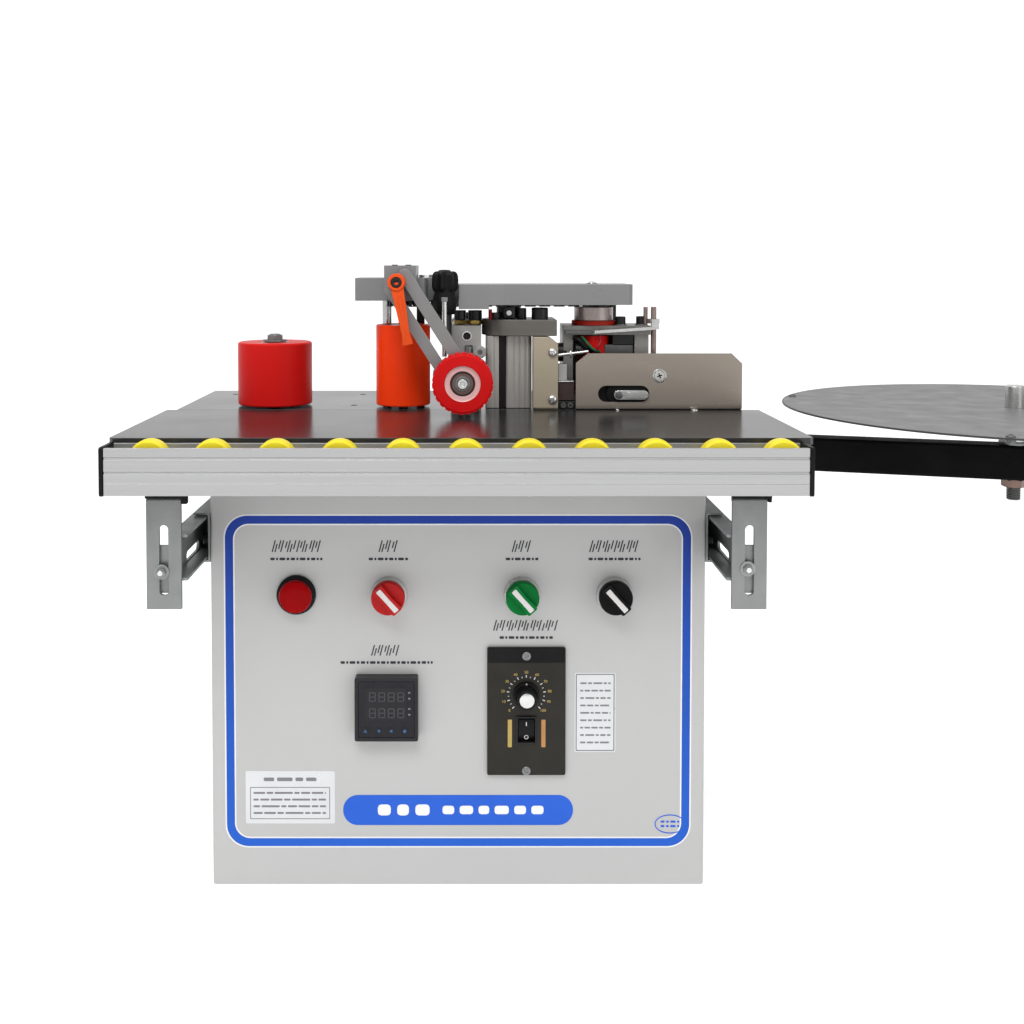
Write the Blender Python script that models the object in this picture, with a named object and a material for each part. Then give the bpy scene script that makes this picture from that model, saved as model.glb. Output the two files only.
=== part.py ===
"""Bench-top edge banding machine: steel cabinet, two table plates, pull-out roller
support, glue pot, feed rollers driven by one chain, a press wheel on a parallel
linkage and a swing-out tape reel.  Units are metres, +Z is up, +X points to the
tape reel and the operator stands on the -Y side."""
import math

import bmesh
import bpy
from mathutils import Matrix, Vector

for old in list(bpy.data.objects):
    bpy.data.objects.remove(old, do_unlink=True)

MM = 0.001
GAP = 0.3                     # clearance left between touching pieces, mm

# ---- driving dimensions, mm -------------------------------------------------
CAB_W, CAB_D, CAB_H = 380.0, 240.0, 350.0
SHEET = 2.0
TABLE_T = 5.0
TABLE_Z = 355.5               # working surface
FEED_Y = -16.0                # line along which the board edge runs
FRONT_TABLE = (-250.0, 256.0, -174.0, FEED_Y)
REAR_TABLE = (-242.0, 242.0, FEED_Y + 0.5, 131.5)

BAR_X = 245.0
BAR_Y0, BAR_Y1 = -201.0, -175.0
BAR_Z0, BAR_Z1 = 319.0, 352.2
WHEELS = 11
WHEEL_X0, WHEEL_PITCH = -216.0, 44.5
WHEEL_R, WHEEL_W = 14.0, 12.0
WHEEL_Y, WHEEL_Z = -188.0, 343.0
BRACKET_X = (-209.0, 208.5)

RAIL_Z0, RAIL_Z1 = 251.0, 289.0
RAIL_Y0, RAIL_Y1 = -118.0, 70.0
RUNNER_Y0, RUNNER_Y1 = -177.7, 62.0

GUIDE = (-163.0, 18.0)
GUIDE_R = 32.3
FEED = (-49.3, 8.0)
FEED_R = 23.6
TAPE = (117.7, 15.0)
DRIVE = (43.0, 11.9)
GLUE = (8.0, -7.5)
GLUE_R = 8.0
SPROCKET_R = 10.2
CHAIN_IN, CHAIN_OUT = 10.9, 14.9
CHAIN_Z0, CHAIN_Z1 = 443.0, 449.0

PIVOT_A = (-44.5, 470.9)      # upper press arm, on the press block (x, z)
PIVOT_B = (-56.9, 459.3)      # lower press arm
ARM_END_A = (0.1, 400.6)      # the same pair on the wheel carrier
ARM_END_B = (-12.3, 389.0)
CLAMP = (-50.7, 465.1)
WHEEL_AXIS = (3.2, 383.2)
ARM_Y0, ARM_Y1 = -50.0, -42.0
PRESS_R = 24.8
PIN_R, EYE_R = 3.0, 3.4
STAR = (-12.4, -23.5)

PANEL_Y = -CAB_D / 2
LAMP = (-123.9, 226.7)
SELECTORS = {"power": -53.0, "motor": 49.1, "curve": 120.0}
SELECTOR_Z = 226.4
TEMP = (-78.8, -30.4, 115.9, 164.9)
SPEED = (22.4, 82.6, 86.8, 186.2)
SPEED_KNOB = (52.4, 149.6)
ROCKER = (44.6, 60.4, 111.4, 133.0)

REEL_PIVOT = (212.0, 104.0)
REEL_AXIS = (494.5, 25.0)
REEL_R = 200.0
ARM_Z0, ARM_Z1 = 289.0, 319.5
DISC_Z = 352.2


# ---- helpers ------------------------------------------------------------------
def material(name, rgb, rough=0.5, metal=0.0):
    mat = bpy.data.materials.get(name)
    if mat:
        return mat
    mat = bpy.data.materials.new(name)
    mat.use_nodes = True
    node = mat.node_tree.nodes["Principled BSDF"]
    node.inputs["Base Color"].default_value = (*rgb, 1.0)
    node.inputs["Roughness"].default_value = rough
    node.inputs["Metallic"].default_value = metal
    mat.diffuse_color = (*rgb, 1.0)
    return mat


WHITE = ("cabinet_paint", (0.80, 0.81, 0.81), 0.42, 0.0)
BLACK_PLATE = ("table_black", (0.045, 0.046, 0.05), 0.35, 0.1)
ALU = ("aluminium", (0.55, 0.56, 0.57), 0.38, 1.0)
ZINC = ("zinc_steel", (0.46, 0.47, 0.48), 0.36, 1.0)
YELLOW = ("yellow_nylon", (0.80, 0.64, 0.03), 0.38, 0.0)
RED = ("red_urethane", (0.58, 0.015, 0.02), 0.30, 0.0)
ORANGE = ("orange_urethane", (0.86, 0.075, 0.008), 0.30, 0.0)
GREY = ("grey_paint", (0.24, 0.245, 0.25), 0.42, 0.0)
DARK_GREY = ("dark_grey_paint", (0.11, 0.105, 0.10), 0.42, 0.2)
STAINLESS = ("stainless", (0.42, 0.39, 0.36), 0.30, 1.0)
BEIGE = ("beige_steel", (0.45, 0.43, 0.37), 0.45, 0.5)
BLACK_PL = ("black_plastic", (0.012, 0.012, 0.013), 0.35, 0.0)
BLACK_ST = ("black_steel", (0.02, 0.02, 0.022), 0.40, 0.6)
DISC_PAINT = ("reel_grey", (0.23, 0.23, 0.23), 0.45, 0.1)
ORANGE_PL = ("orange_plastic", (0.78, 0.12, 0.015), 0.40, 0.0)


def to_axis(axis, u, v, h):
    """Point from (u, v) in the plane across the axis and h along it."""
    return {"X": (h, u, v), "Y": (u, h, v), "Z": (u, v, h)}[axis]


def finish(bm):
    bmesh.ops.remove_doubles(bm, verts=bm.verts, dist=1e-6)
    bmesh.ops.recalc_face_normals(bm, faces=bm.faces)
    return bm


def prism(points, axis, a, b, bm=None):
    """Closed polygon swept along an axis."""
    own = bmesh.new()
    verts = [own.verts.new(Vector(to_axis(axis, u, v, a)) * MM) for u, v in points]
    face = own.faces.new(verts)
    out = bmesh.ops.extrude_face_region(own, geom=[face])
    moved = [g for g in out["geom"] if isinstance(g, bmesh.types.BMVert)]
    step = Vector(to_axis(axis, 0.0, 0.0, b - a)) * MM
    bmesh.ops.translate(own, verts=moved, vec=step)
    finish(own)
    return merge(bm, own)


def merge(bm, own):
    """Adds one mesh to another as a further body."""
    if bm is None:
        return own
    mesh = bpy.data.meshes.new("scratch")
    own.to_mesh(mesh)
    own.free()
    bm.from_mesh(mesh)
    bpy.data.meshes.remove(mesh)
    return bm


def block(x0, x1, y0, y1, z0, z1, bm=None):
    return prism([(x0, y0), (x1, y0), (x1, y1), (x0, y1)], "Z", z0, z1, bm)


def circle(cu, cv, r, seg, phase=0.0):
    return [
        (cu + r * math.cos(2 * math.pi * (i + phase) / seg),
         cv + r * math.sin(2 * math.pi * (i + phase) / seg))
        for i in range(seg)
    ]


def rod(cu, cv, r, axis, a, b, seg=24, bm=None):
    return prism(circle(cu, cv, r, seg), axis, a, b, bm)


def lathe(profile, axis, cu, cv, seg=32, bm=None):
    """Closed profile of (radius, height) points turned about an axis line."""
    own = bmesh.new()
    start = [Vector(to_axis(axis, cu + r, cv, h)) * MM for r, h in profile]
    verts = [own.verts.new(p) for p in start]
    edges = []
    for i, vert in enumerate(verts):
        nxt = verts[(i + 1) % len(verts)]
        on_axis = profile[i][0] == 0 and profile[(i + 1) % len(verts)][0] == 0
        if not on_axis:
            edges.append(own.edges.new((vert, nxt)))
    direction = Vector(to_axis(axis, 0.0, 0.0, 1.0))
    bmesh.ops.spin(
        own, geom=verts + edges, cent=Vector(to_axis(axis, cu, cv, 0.0)) * MM,
        axis=direction, dvec=(0, 0, 0), angle=2 * math.pi, steps=seg,
        use_merge=True, use_duplicate=False,
    )
    bmesh.ops.remove_doubles(own, verts=own.verts, dist=1e-6)
    loose = [v for v in own.verts if not v.link_faces]
    bmesh.ops.delete(own, geom=loose, context="VERTS")
    finish(own)
    return merge(bm, own)


def slot_outline(u0, u1, v0, v1, seg=8):
    """Rounded slot filling a rectangle, round at its short ends."""
    pts = []
    if u1 - u0 >= v1 - v0:
        r, cv = (v1 - v0) / 2, (v0 + v1) / 2
        for i in range(seg + 1):
            a = -math.pi / 2 + math.pi * i / seg
            pts.append((u1 - r + r * math.cos(a), cv + r * math.sin(a)))
        for i in range(seg + 1):
            a = math.pi / 2 + math.pi * i / seg
            pts.append((u0 + r + r * math.cos(a), cv + r * math.sin(a)))
    else:
        r, cu = (u1 - u0) / 2, (u0 + u1) / 2
        for i in range(seg + 1):
            a = math.pi * i / seg
            pts.append((cu + r * math.cos(a), v1 - r + r * math.sin(a)))
        for i in range(seg + 1):
            a = math.pi + math.pi * i / seg
            pts.append((cu + r * math.cos(a), v0 + r + r * math.sin(a)))
    return pts


def link_outline(p, q, rp, rq, seg=8):
    """Outline of a bar with a round end of radius rp at p and rq at q."""
    px, py = p
    qx, qy = q
    length = math.hypot(qx - px, qy - py)
    base = math.atan2(qy - py, qx - px)
    lean = math.acos(max(-1.0, min(1.0, (rp - rq) / length)))
    pts = []
    for i in range(seg + 1):
        a = base + lean + (2 * math.pi - 2 * lean) * i / seg
        pts.append((px + rp * math.cos(a), py + rp * math.sin(a)))
    for i in range(seg + 1):
        a = base - lean + 2 * lean * i / seg
        pts.append((qx + rq * math.cos(a), qy + rq * math.sin(a)))
    return pts


def turned(points, centre, angle):
    cx, cy = centre
    c, s = math.cos(angle), math.sin(angle)
    return [(cx + (x - cx) * c - (y - cy) * s, cy + (x - cx) * s + (y - cy) * c)
            for x, y in points]


def add(name, bm, spec, origin=(0.0, 0.0, 0.0), smooth=False, parent=None):
    """Links a named object whose origin is at the given point (mm)."""
    place = Vector(origin) * MM
    bmesh.ops.translate(bm, verts=bm.verts, vec=-place)
    mesh = bpy.data.meshes.new(name)
    bm.to_mesh(mesh)
    bm.free()
    obj = bpy.data.objects.new(name, mesh)
    bpy.context.scene.collection.objects.link(obj)
    obj.location = place
    mesh.materials.append(material(*spec))
    if smooth:
        for poly in mesh.polygons:
            poly.use_smooth = True
    if parent is not None:
        obj.parent = parent
        obj.matrix_parent_inverse = Matrix.Translation(parent.location).inverted()
    return obj


def helper(name, bm):
    """An operand of a Boolean, kept out of the model."""
    mesh = bpy.data.meshes.new(name)
    bm.to_mesh(mesh)
    bm.free()
    obj = bpy.data.objects.new(name, mesh)
    bpy.context.scene.collection.objects.link(obj)
    obj.hide_render = True
    obj.display_type = "WIRE"
    return obj


def boolean(obj, bm, operation):
    count = len(obj.modifiers)
    mod = obj.modifiers.new(f"{operation.lower()}_{count}", "BOOLEAN")
    mod.operation = operation
    mod.solver = "EXACT"
    mod.object = helper(f"{obj.name}_tool_{count}", bm)
    return obj


def cut(obj, bm):
    return boolean(obj, bm, "DIFFERENCE")


def join(obj, bm):
    return boolean(obj, bm, "UNION")


def bevel(obj, width, segments=2, angle=35.0):
    mod = obj.modifiers.new("bevel", "BEVEL")
    mod.width = width * MM
    mod.segments = segments
    mod.limit_method = "ANGLE"
    mod.angle_limit = math.radians(angle)
    return obj


def empty(name, point):
    obj = bpy.data.objects.new(name, None)
    bpy.context.scene.collection.objects.link(obj)
    obj.location = Vector(point) * MM
    obj.empty_display_size = 0.02
    return obj


# ---- cabinet ------------------------------------------------------------------
HX, HY = CAB_W / 2, CAB_D / 2
shell = add("cabinet_shell", block(-HX, HX, -HY, HY, 0.0, CAB_H - 0.3), WHITE)
cut(shell, block(-HX + SHEET, HX - SHEET, -HY + SHEET, HY + 5, SHEET, CAB_H - 0.3 - SHEET))
cut(shell, block(-HX + 18, HX - 18, -HY + 18, HY + 5, CAB_H - 10, CAB_H + 5))
tools = rod(LAMP[0], LAMP[1], 11.2, "Y", PANEL_Y - 2, PANEL_Y + 5, 24)
for sx in SELECTORS.values():
    rod(sx, SELECTOR_Z, 11.2, "Y", PANEL_Y - 2, PANEL_Y + 5, 24, tools)
block(TEMP[0] + 1.4, TEMP[1] - 1.4, PANEL_Y - 2, PANEL_Y + 5, TEMP[2] + 1.4, TEMP[3] - 1.4, tools)
block(SPEED[0] + 6, SPEED[1] - 6, PANEL_Y - 2, PANEL_Y + 5, SPEED[2] + 10, SPEED[3] - 10, tools)
cut(shell, tools)

cover = add("cabinet_rear_cover", block(-HX + SHEET + GAP, HX - SHEET - GAP, HY - 2.0, HY,
                                        SHEET + GAP, CAB_H - 2.6), WHITE)
vents = None
for i in range(5):
    z = 70.0 + 14.0 * i
    vents = prism(slot_outline(-60, 60, z, z + 5.0, 6), "Y", HY - 5, HY + 3, vents)
cut(cover, vents)

# ---- tables -------------------------------------------------------------------
T0 = TABLE_Z - TABLE_T


def plate(name, x0, x1, y0, y1, corners):
    """Table plate with its outer corners cut back."""
    c = 3.0
    pts = []
    for (x, y, flag), (dx, dy) in zip(
            ((x0, y0, corners[0]), (x1, y0, corners[1]), (x1, y1, corners[2]), (x0, y1, corners[3])),
            ((1, 1), (-1, 1), (-1, -1), (1, -1))):
        if not flag:
            pts.append((x, y))
        elif (dx > 0) == (dy > 0):
            pts += [(x, y + c * dy), (x + c * dx, y)]
        else:
            pts += [(x + c * dx, y), (x, y + c * dy)]
    return add(name, prism(pts, "Z", T0, TABLE_Z), BLACK_PLATE)


front_table = plate("front_table", *FRONT_TABLE, (1, 1, 0, 0))
rear_table = plate("rear_table", *REAR_TABLE, (0, 0, 1, 1))
holes = rod(GUIDE[0], GUIDE[1], 5.4, "Z", T0 - 3, TABLE_Z + 3, 20)
rod(FEED[0], FEED[1], 4.8, "Z", T0 - 3, TABLE_Z + 3, 20, holes)
rod(DRIVE[0], DRIVE[1], 8.0, "Z", T0 - 3, TABLE_Z + 3, 20, holes)
rod(GLUE[0], -7.0, 3.6, "Z", T0 - 3, TABLE_Z + 3, 16, holes)
cut(rear_table, holes)

# ---- slide rails ----------------------------------------------------------------
def channel(side):
    """C section open towards the outside, as (x, z) points."""
    x0, x1, t = HX + GAP, 203.0, 1.6
    pts = [(x0, RAIL_Z0), (x1, RAIL_Z0), (x1, RAIL_Z0 + t), (x0 + t, RAIL_Z0 + t),
           (x0 + t, RAIL_Z1 - t), (x1, RAIL_Z1 - t), (x1, RAIL_Z1), (x0, RAIL_Z1)]
    return [(side * x, z) for x, z in pts]


def runner_section(side):
    """Inner member: C section that closes the rail from the outside."""
    x0, x1, t = 193.0, 206.0, 2.0
    z0, z1 = RAIL_Z0 + 2.4, RAIL_Z1 - 2.4
    pts = [(x0, z0), (x1, z0), (x1, z1), (x0, z1), (x0, z1 - t), (x1 - t, z1 - t),
           (x1 - t, z0 + t), (x0, z0 + t)]
    return [(side * x, z) for x, z in pts]


for side, label in ((-1, "left"), (1, "right")):
    add(f"rail_{label}", prism(channel(side), "Y", RAIL_Y0, RAIL_Y1), ZINC)

slide = empty("roller_bar_slide", (0.0, BAR_Y1, (BAR_Z0 + BAR_Z1) / 2))
slide_at = (0.0, BAR_Y1, (BAR_Z0 + BAR_Z1) / 2)
for side, label in ((-1, "left"), (1, "right")):
    runner = add(f"runner_{label}", prism(runner_section(side), "Y", RUNNER_Y0, RUNNER_Y1), ZINC,
                 slide_at, parent=slide)
    x = side * 205.0
    cut(runner, prism(slot_outline(-136.0, -97.0, 256.4, 263.4, 6), "X", x - 6, x + 6))

# ---- roller bar -----------------------------------------------------------------
w = 2.6
bar_points = [
    (BAR_Y0, BAR_Z0), (BAR_Y1, BAR_Z0), (BAR_Y1, BAR_Z1), (BAR_Y1 - w, BAR_Z1),
    (BAR_Y1 - w, BAR_Z0 + 3.2), (BAR_Y0 + w + 0.6, BAR_Z0 + 3.2), (BAR_Y0 + w + 0.6, BAR_Z1),
    (BAR_Y0, BAR_Z1), (BAR_Y0, BAR_Z1 - 6.0), (BAR_Y0 + 0.9, BAR_Z1 - 6.8),
    (BAR_Y0 + 0.9, BAR_Z1 - 9.4), (BAR_Y0, BAR_Z1 - 10.2), (BAR_Y0, BAR_Z0 + 9.4),
    (BAR_Y0 + 0.9, BAR_Z0 + 8.6), (BAR_Y0 + 0.9, BAR_Z0 + 6.0), (BAR_Y0, BAR_Z0 + 5.2),
]
bar = add("roller_bar", prism(bar_points, "X", -BAR_X, BAR_X), ALU, slide_at, parent=slide)
pins = None
for i in range(WHEELS):
    wx = WHEEL_X0 + i * WHEEL_PITCH
    pins = rod(wx, WHEEL_Z, 2.5, "Y", BAR_Y0 + 1.2, BAR_Y1 - 1.0, 10, pins)
join(bar, pins)

for side, label in ((-1, "left"), (1, "right")):
    xs = sorted((side * (BAR_X + GAP), side * (BAR_X + GAP + 3.0)))
    cap = add(f"bar_end_cap_{label}",
              block(xs[0], xs[1], BAR_Y0 - 0.6, BAR_Y1 + 0.3, BAR_Z0 - 0.6, BAR_Z1 + 0.8),
              BLACK_PL, slide_at, parent=slide)
    bevel(cap, 0.7, 1)

for i in range(WHEELS):
    wx = WHEEL_X0 + i * WHEEL_PITCH
    half = WHEEL_W / 2
    ring = [(3.0, WHEEL_Y - half), (WHEEL_R - 1.6, WHEEL_Y - half), (WHEEL_R, WHEEL_Y - half + 2.2),
            (WHEEL_R, WHEEL_Y + half - 2.2), (WHEEL_R - 1.6, WHEEL_Y + half), (3.0, WHEEL_Y + half)]
    add(f"support_roller_{i + 1:02d}", lathe(ring, "Y", wx, WHEEL_Z, 20), YELLOW,
        (wx, WHEEL_Y, WHEEL_Z), smooth=True, parent=slide)

for x, label in zip(BRACKET_X, ("left", "right")):
    y1 = BAR_Y1 - GAP - 2.4
    outline = [(-181.0, 233.5), (-178.0, 233.5), (-178.0, BAR_Z0 - 3.3), (-176.5, BAR_Z0 - 3.3),
               (-176.5, BAR_Z0 - GAP), (-186.0, BAR_Z0 - GAP), (-186.0, BAR_Z0 - 3.3),
               (-181.0, BAR_Z0 - 3.3)]
    bracket = add(f"bar_bracket_{label}", prism(outline, "X", x - 12.5, x + 12.5), ZINC,
                  slide_at, parent=slide)
    cut(bracket, prism(slot_outline(x - 3.2, x + 3.2, 243.6, 294.0, 8), "Y", -186, -172))

# ---- control panel ----------------------------------------------------------------
P = PANEL_Y - GAP
lamp = [(0.0, P - 10.5), (6.0, P - 10.0), (10.4, P - 8.6), (12.6, P - 6.2), (12.9, P - 4.4),
        (14.8, P - 4.0), (15.0, P - 0.0), (10.9, P), (10.9, PANEL_Y + 24), (0.0, PANEL_Y + 24)]
add("power_lamp", lathe(lamp, "Y", LAMP[0], LAMP[1], 20), ("lamp_red", (0.45, 0.01, 0.02), 0.2, 0.0),
    smooth=True)

temp = add("temperature_controller", block(TEMP[0], TEMP[1], P - 9.0, P, TEMP[2], TEMP[3]), BLACK_PL)
join(temp, block(TEMP[0] + 1.9, TEMP[1] - 1.9, P - 2.0, PANEL_Y + 78, TEMP[2] + 1.9, TEMP[3] - 1.9))
cut(temp, block(TEMP[0] + 2.6, TEMP[1] - 2.6, P - 12, P - 8.2, TEMP[2] + 2.6, TEMP[3] - 2.6))

SP_BACK = PANEL_Y + 52
speed = add("speed_controller", block(SPEED[0], SPEED[1], P - 2.4, P, SPEED[2], SPEED[3]),
            ("speed_plate", (0.035, 0.034, 0.028), 0.4, 0.1))
join(speed, block(SPEED[0] + 6.6, SPEED[1] - 6.6, P - 1.2, SP_BACK, SPEED[2] + 10.6, SPEED[3] - 10.6))
recess = rod(SPEED_KNOB[0], SPEED_KNOB[1], 3.6, "Y", P - 5, P + 14, 16)
block(ROCKER[0] + 0.9, ROCKER[1] - 0.9, P - 5, P + 16, ROCKER[2] + 0.9, ROCKER[3] - 0.9, recess)
cut(speed, recess)

kp = P - 2.4 - GAP
knob = [(0.0, kp - 12.5), (6.6, kp - 12.5), (7.4, kp - 11.8), (8.6, kp - 3.2), (10.0, kp - 2.6),
        (10.2, kp), (3.2, kp), (3.2, kp + 11.0), (0.0, kp + 11.0)]
add("speed_knob", lathe(knob, "Y", SPEED_KNOB[0], SPEED_KNOB[1], 16), BLACK_PL,
    (SPEED_KNOB[0], kp, SPEED_KNOB[1]), smooth=True)

rz = (ROCKER[2] + ROCKER[3]) / 2
rh = (ROCKER[3] - ROCKER[2]) / 2 - 1.6
rocker_y = P + 2.0
tilt = math.radians(8.0)
rock = [(rocker_y - 2.2, rz - rh), (rocker_y + 7.5, rz - rh + 3.4), (rocker_y + 7.5, rz + rh - 3.4),
        (rocker_y - 2.2, rz + rh), (rocker_y - 4.2, rz + rh * 0.55), (rocker_y - 5.0, rz),
        (rocker_y - 4.2, rz - rh * 0.55)]
add("rocker_switch", prism(turned(rock, (rocker_y, rz), tilt), "X", ROCKER[0] + 1.6, ROCKER[1] - 1.6),
    BLACK_PL, ((ROCKER[0] + ROCKER[1]) / 2, rocker_y, rz))

KNOB_COLOURS = {"power": ("knob_red", (0.62, 0.02, 0.02), 0.35, 0.0),
                "motor": ("knob_green", (0.01, 0.30, 0.08), 0.35, 0.0),
                "curve": ("knob_black", (0.015, 0.015, 0.016), 0.35, 0.0)}
for key, sx in SELECTORS.items():
    body = [(0.0, P - 12.0), (12.2, P - 12.0), (12.8, P - 11.4), (12.8, P - 5.0), (10.9, P - 5.0),
            (10.9, PANEL_Y + 4.0), (5.5, PANEL_Y + 4.0), (5.5, PANEL_Y + 22.0), (0.0, PANEL_Y + 22.0)]
    dial = add(f"selector_knob_{key}", lathe(body, "Y", sx, SELECTOR_Z, 20), KNOB_COLOURS[key],
               (sx, P, SELECTOR_Z), smooth=True)
    grip = prism([(-3.8, -12.9), (3.8, -12.9), (4.2, 0.0), (3.8, 12.9), (-3.8, 12.9), (-4.2, 0.0)],
                 "Y", P - 17.5, P - 9.0)
    bmesh.ops.rotate(grip, verts=grip.verts, cent=(0, 0, 0),
                     matrix=Matrix.Rotation(math.radians(-42.0), 3, "Y"))
    bmesh.ops.translate(grip, verts=grip.verts, vec=Vector((sx, 0.0, SELECTOR_Z)) * MM)
    join(dial, grip)

# ---- guide roller ------------------------------------------------------------------
TZ = TABLE_Z
post = [(0.0, T0 - 12.0), (4.2, T0 - 12.0), (4.9, T0 - 11.0), (4.9, T0 - 7.6), (8.0, T0 - 7.6),
        (8.0, T0 - GAP), (4.9, T0 - GAP), (4.9, 412.0), (10.6, 412.0), (10.6, 413.6),
        (7.4, 413.6), (7.4, 417.4), (6.4, 418.3), (0.0, 418.3)]
add("guide_roller_post", lathe(post, "Z", *GUIDE, 16), ZINC, smooth=True)
red = [(5.4, 357.0), (GUIDE_R - 1.0, 357.0), (GUIDE_R, 358.0), (GUIDE_R, 410.4),
       (GUIDE_R - 1.2, 411.6), (5.4, 411.6)]
add("guide_roller", lathe(red, "Z", *GUIDE, 28), RED, (*GUIDE, 357.0), smooth=True)

# ---- feed roller with its shaft and sprocket ------------------------------------------
feed = [(0.0, T0 - 8.0), (4.0, T0 - 8.0), (4.0, 357.6), (FEED_R - 0.8, 357.6), (FEED_R, 358.4),
        (FEED_R, 426.6), (FEED_R - 0.8, 427.4), (4.0, 427.4), (4.0, 443.6), (SPROCKET_R, 443.6),
        (SPROCKET_R, 448.4), (6.0, 448.4), (6.0, 452.0), (0.0, 452.0)]
add("feed_roller", lathe(feed, "Z", *FEED, 24), ORANGE, (*FEED, 357.6), smooth=True)

# ---- drive sprocket on the motor shaft ---------------------------------------------------
drive = [(0.0, 330.4), (5.0, 330.4), (5.0, 432.9), (10.6, 432.9), (10.6, 442.6), (6.0, 442.6),
         (6.0, 443.6), (SPROCKET_R, 443.6), (SPROCKET_R, 448.4), (5.0, 448.4), (5.0, 452.0), (0.0, 452.0)]
add("drive_sprocket", lathe(drive, "Z", *DRIVE, 16), BLACK_ST, (*DRIVE, 433.0), smooth=True)

# ---- tape feed roller ---------------------------------------------------------------------
tape = [(0.0, 366.0), (3.0, 366.0), (3.0, 378.0), (13.4, 378.0), (13.4, 417.5), (5.0, 417.5),
        (5.0, 426.9), (19.2, 426.9), (19.2, 430.8), (17.0, 430.8), (17.0, 442.6), (6.0, 442.6),
        (6.0, 443.6), (SPROCKET_R, 443.6), (SPROCKET_R, 448.4), (5.0, 448.4), (5.0, 451.0), (0.0, 451.0)]
add("tape_feed_roller", lathe(tape, "Z", *TAPE, 20), RED, (*TAPE, 378.0), smooth=True)

# ---- glue roller ------------------------------------------------------------------------------
glue = [(0.0, 352.0), (3.0, 352.0), (3.0, 359.4), (GLUE_R, 359.4), (GLUE_R, 401.0), (3.0, 401.0),
        (3.0, 409.0), (0.0, 409.0)]
add("glue_roller", lathe(glue, "Z", *GLUE, 20), ZINC, (*GLUE, 380.0), smooth=True)

# ---- drive chain: closed band round the three sprockets -------------------------------------------
def belt_outline(a, b, r, seg=10):
    base = math.atan2(b[1] - a[1], b[0] - a[0])
    pts = []
    for i in range(seg + 1):
        t = base + math.pi / 2 + math.pi * i / seg
        pts.append((a[0] + r * math.cos(t), a[1] + r * math.sin(t)))
    for i in range(seg + 1):
        t = base - math.pi / 2 + math.pi * i / seg
        pts.append((b[0] + r * math.cos(t), b[1] + r * math.sin(t)))
    return pts


chain = add("drive_chain", prism(belt_outline(FEED, TAPE, CHAIN_OUT), "Z", CHAIN_Z0, CHAIN_Z1), BLACK_ST)
cut(chain, prism(belt_outline(FEED, TAPE, CHAIN_IN), "Z", CHAIN_Z0 - 3, CHAIN_Z1 + 3))

# ---- chain cover with press block and pillars ---------------------------------------------------
LEFT_Z = (448.9, 468.1)
RIGHT_Z = (445.2, 462.7)
CY0, CY1 = -22.0, 45.0
lid = add("drive_cover", prism(
    [(-0.5, CY0), (26.0, CY0), (38.0, CY0 + 3.0), (144.0, CY0 + 3.0), (147.9, CY0 + 7.0), (147.9, CY1 - 5),
     (143.0, CY1), (-14.0, CY1), (-14.0, -10.0), (-0.5, -10.0)], "Z", *RIGHT_Z), GREY)
join(lid, prism(
    [(-88.4, CY0 + 1.5), (-86.9, CY0), (-27.5, CY0), (-27.5, -10.0), (-8.0, -10.0), (-8.0, CY1),
     (-78.4, CY1), (-88.4, CY1 - 10)], "Z", *LEFT_Z))
join(lid, block(-62.2, -35.7, -40.5, -18.5, 450.5, 478.8))
join(lid, block(-62.2, -35.7, -20.0, 8.0, 462.0, 478.8))
join(lid, block(-0.5, 25.2, CY0, -18.8, 441.8, 450.0))
cavity = prism([(-85.4, -19.0), (-30.5, -19.0), (-30.5, -7.4), (2.5, -7.4), (2.5, -19.2), (25.0, -19.2),
                (38.0, -16.0), (144.9, -16.0), (144.9, 42.0), (-85.4, 42.0)], "Z", 436.0, 459.6)
cut(lid, cavity)
join(lid, rod(-65.5, 37.6, 4.2, "Z", TZ + GAP, 463.0, 16))
join(lid, block(-38.8, -31.8, 33.8, 41.2, TZ + GAP, 463.0))
join(lid, rod(136.0, 35.0, 4.2, "Z", 426.6 + GAP, 461.0, 16))
pins = rod(*PIVOT_A, PIN_R, "Y", ARM_Y0, -38.0, 20)
rod(*PIVOT_B, PIN_R, "Y", ARM_Y0, -38.0, 20, pins)
join(lid, pins)
cut(lid, rod(*CLAMP, 2.9, "Y", -44.0, -26.0, 16))

# ---- press arms, wheel carrier and press wheel ----------------------------------------------------
upper = add("press_arm_upper", prism(link_outline(PIVOT_A, ARM_END_A, 5.25, 5.25), "Y", ARM_Y0, ARM_Y1),
            GREY, (PIVOT_A[0], ARM_Y0, PIVOT_A[1]))
eyes = rod(*PIVOT_A, EYE_R, "Y", ARM_Y0 - 3, ARM_Y1 + 3, 20)
rod(*ARM_END_A, EYE_R, "Y", ARM_Y0 - 3, ARM_Y1 + 3, 20, eyes)
cut(upper, eyes)
lower = add("press_arm_lower", prism(link_outline(PIVOT_B, ARM_END_B, 4.55, 4.55), "Y", ARM_Y0, ARM_Y1),
            GREY, (PIVOT_B[0], ARM_Y0, PIVOT_B[1]))
join(lower, rod(*ARM_END_B, 9.3, "Y", ARM_Y0, ARM_Y1, 28))
eyes = rod(*PIVOT_B, EYE_R, "Y", ARM_Y0 - 3, ARM_Y1 + 3, 20)
rod(*ARM_END_B, EYE_R + 0.3, "Y", ARM_Y0 - 3, ARM_Y1 + 3, 20, eyes)
cut(lower, eyes)

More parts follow.
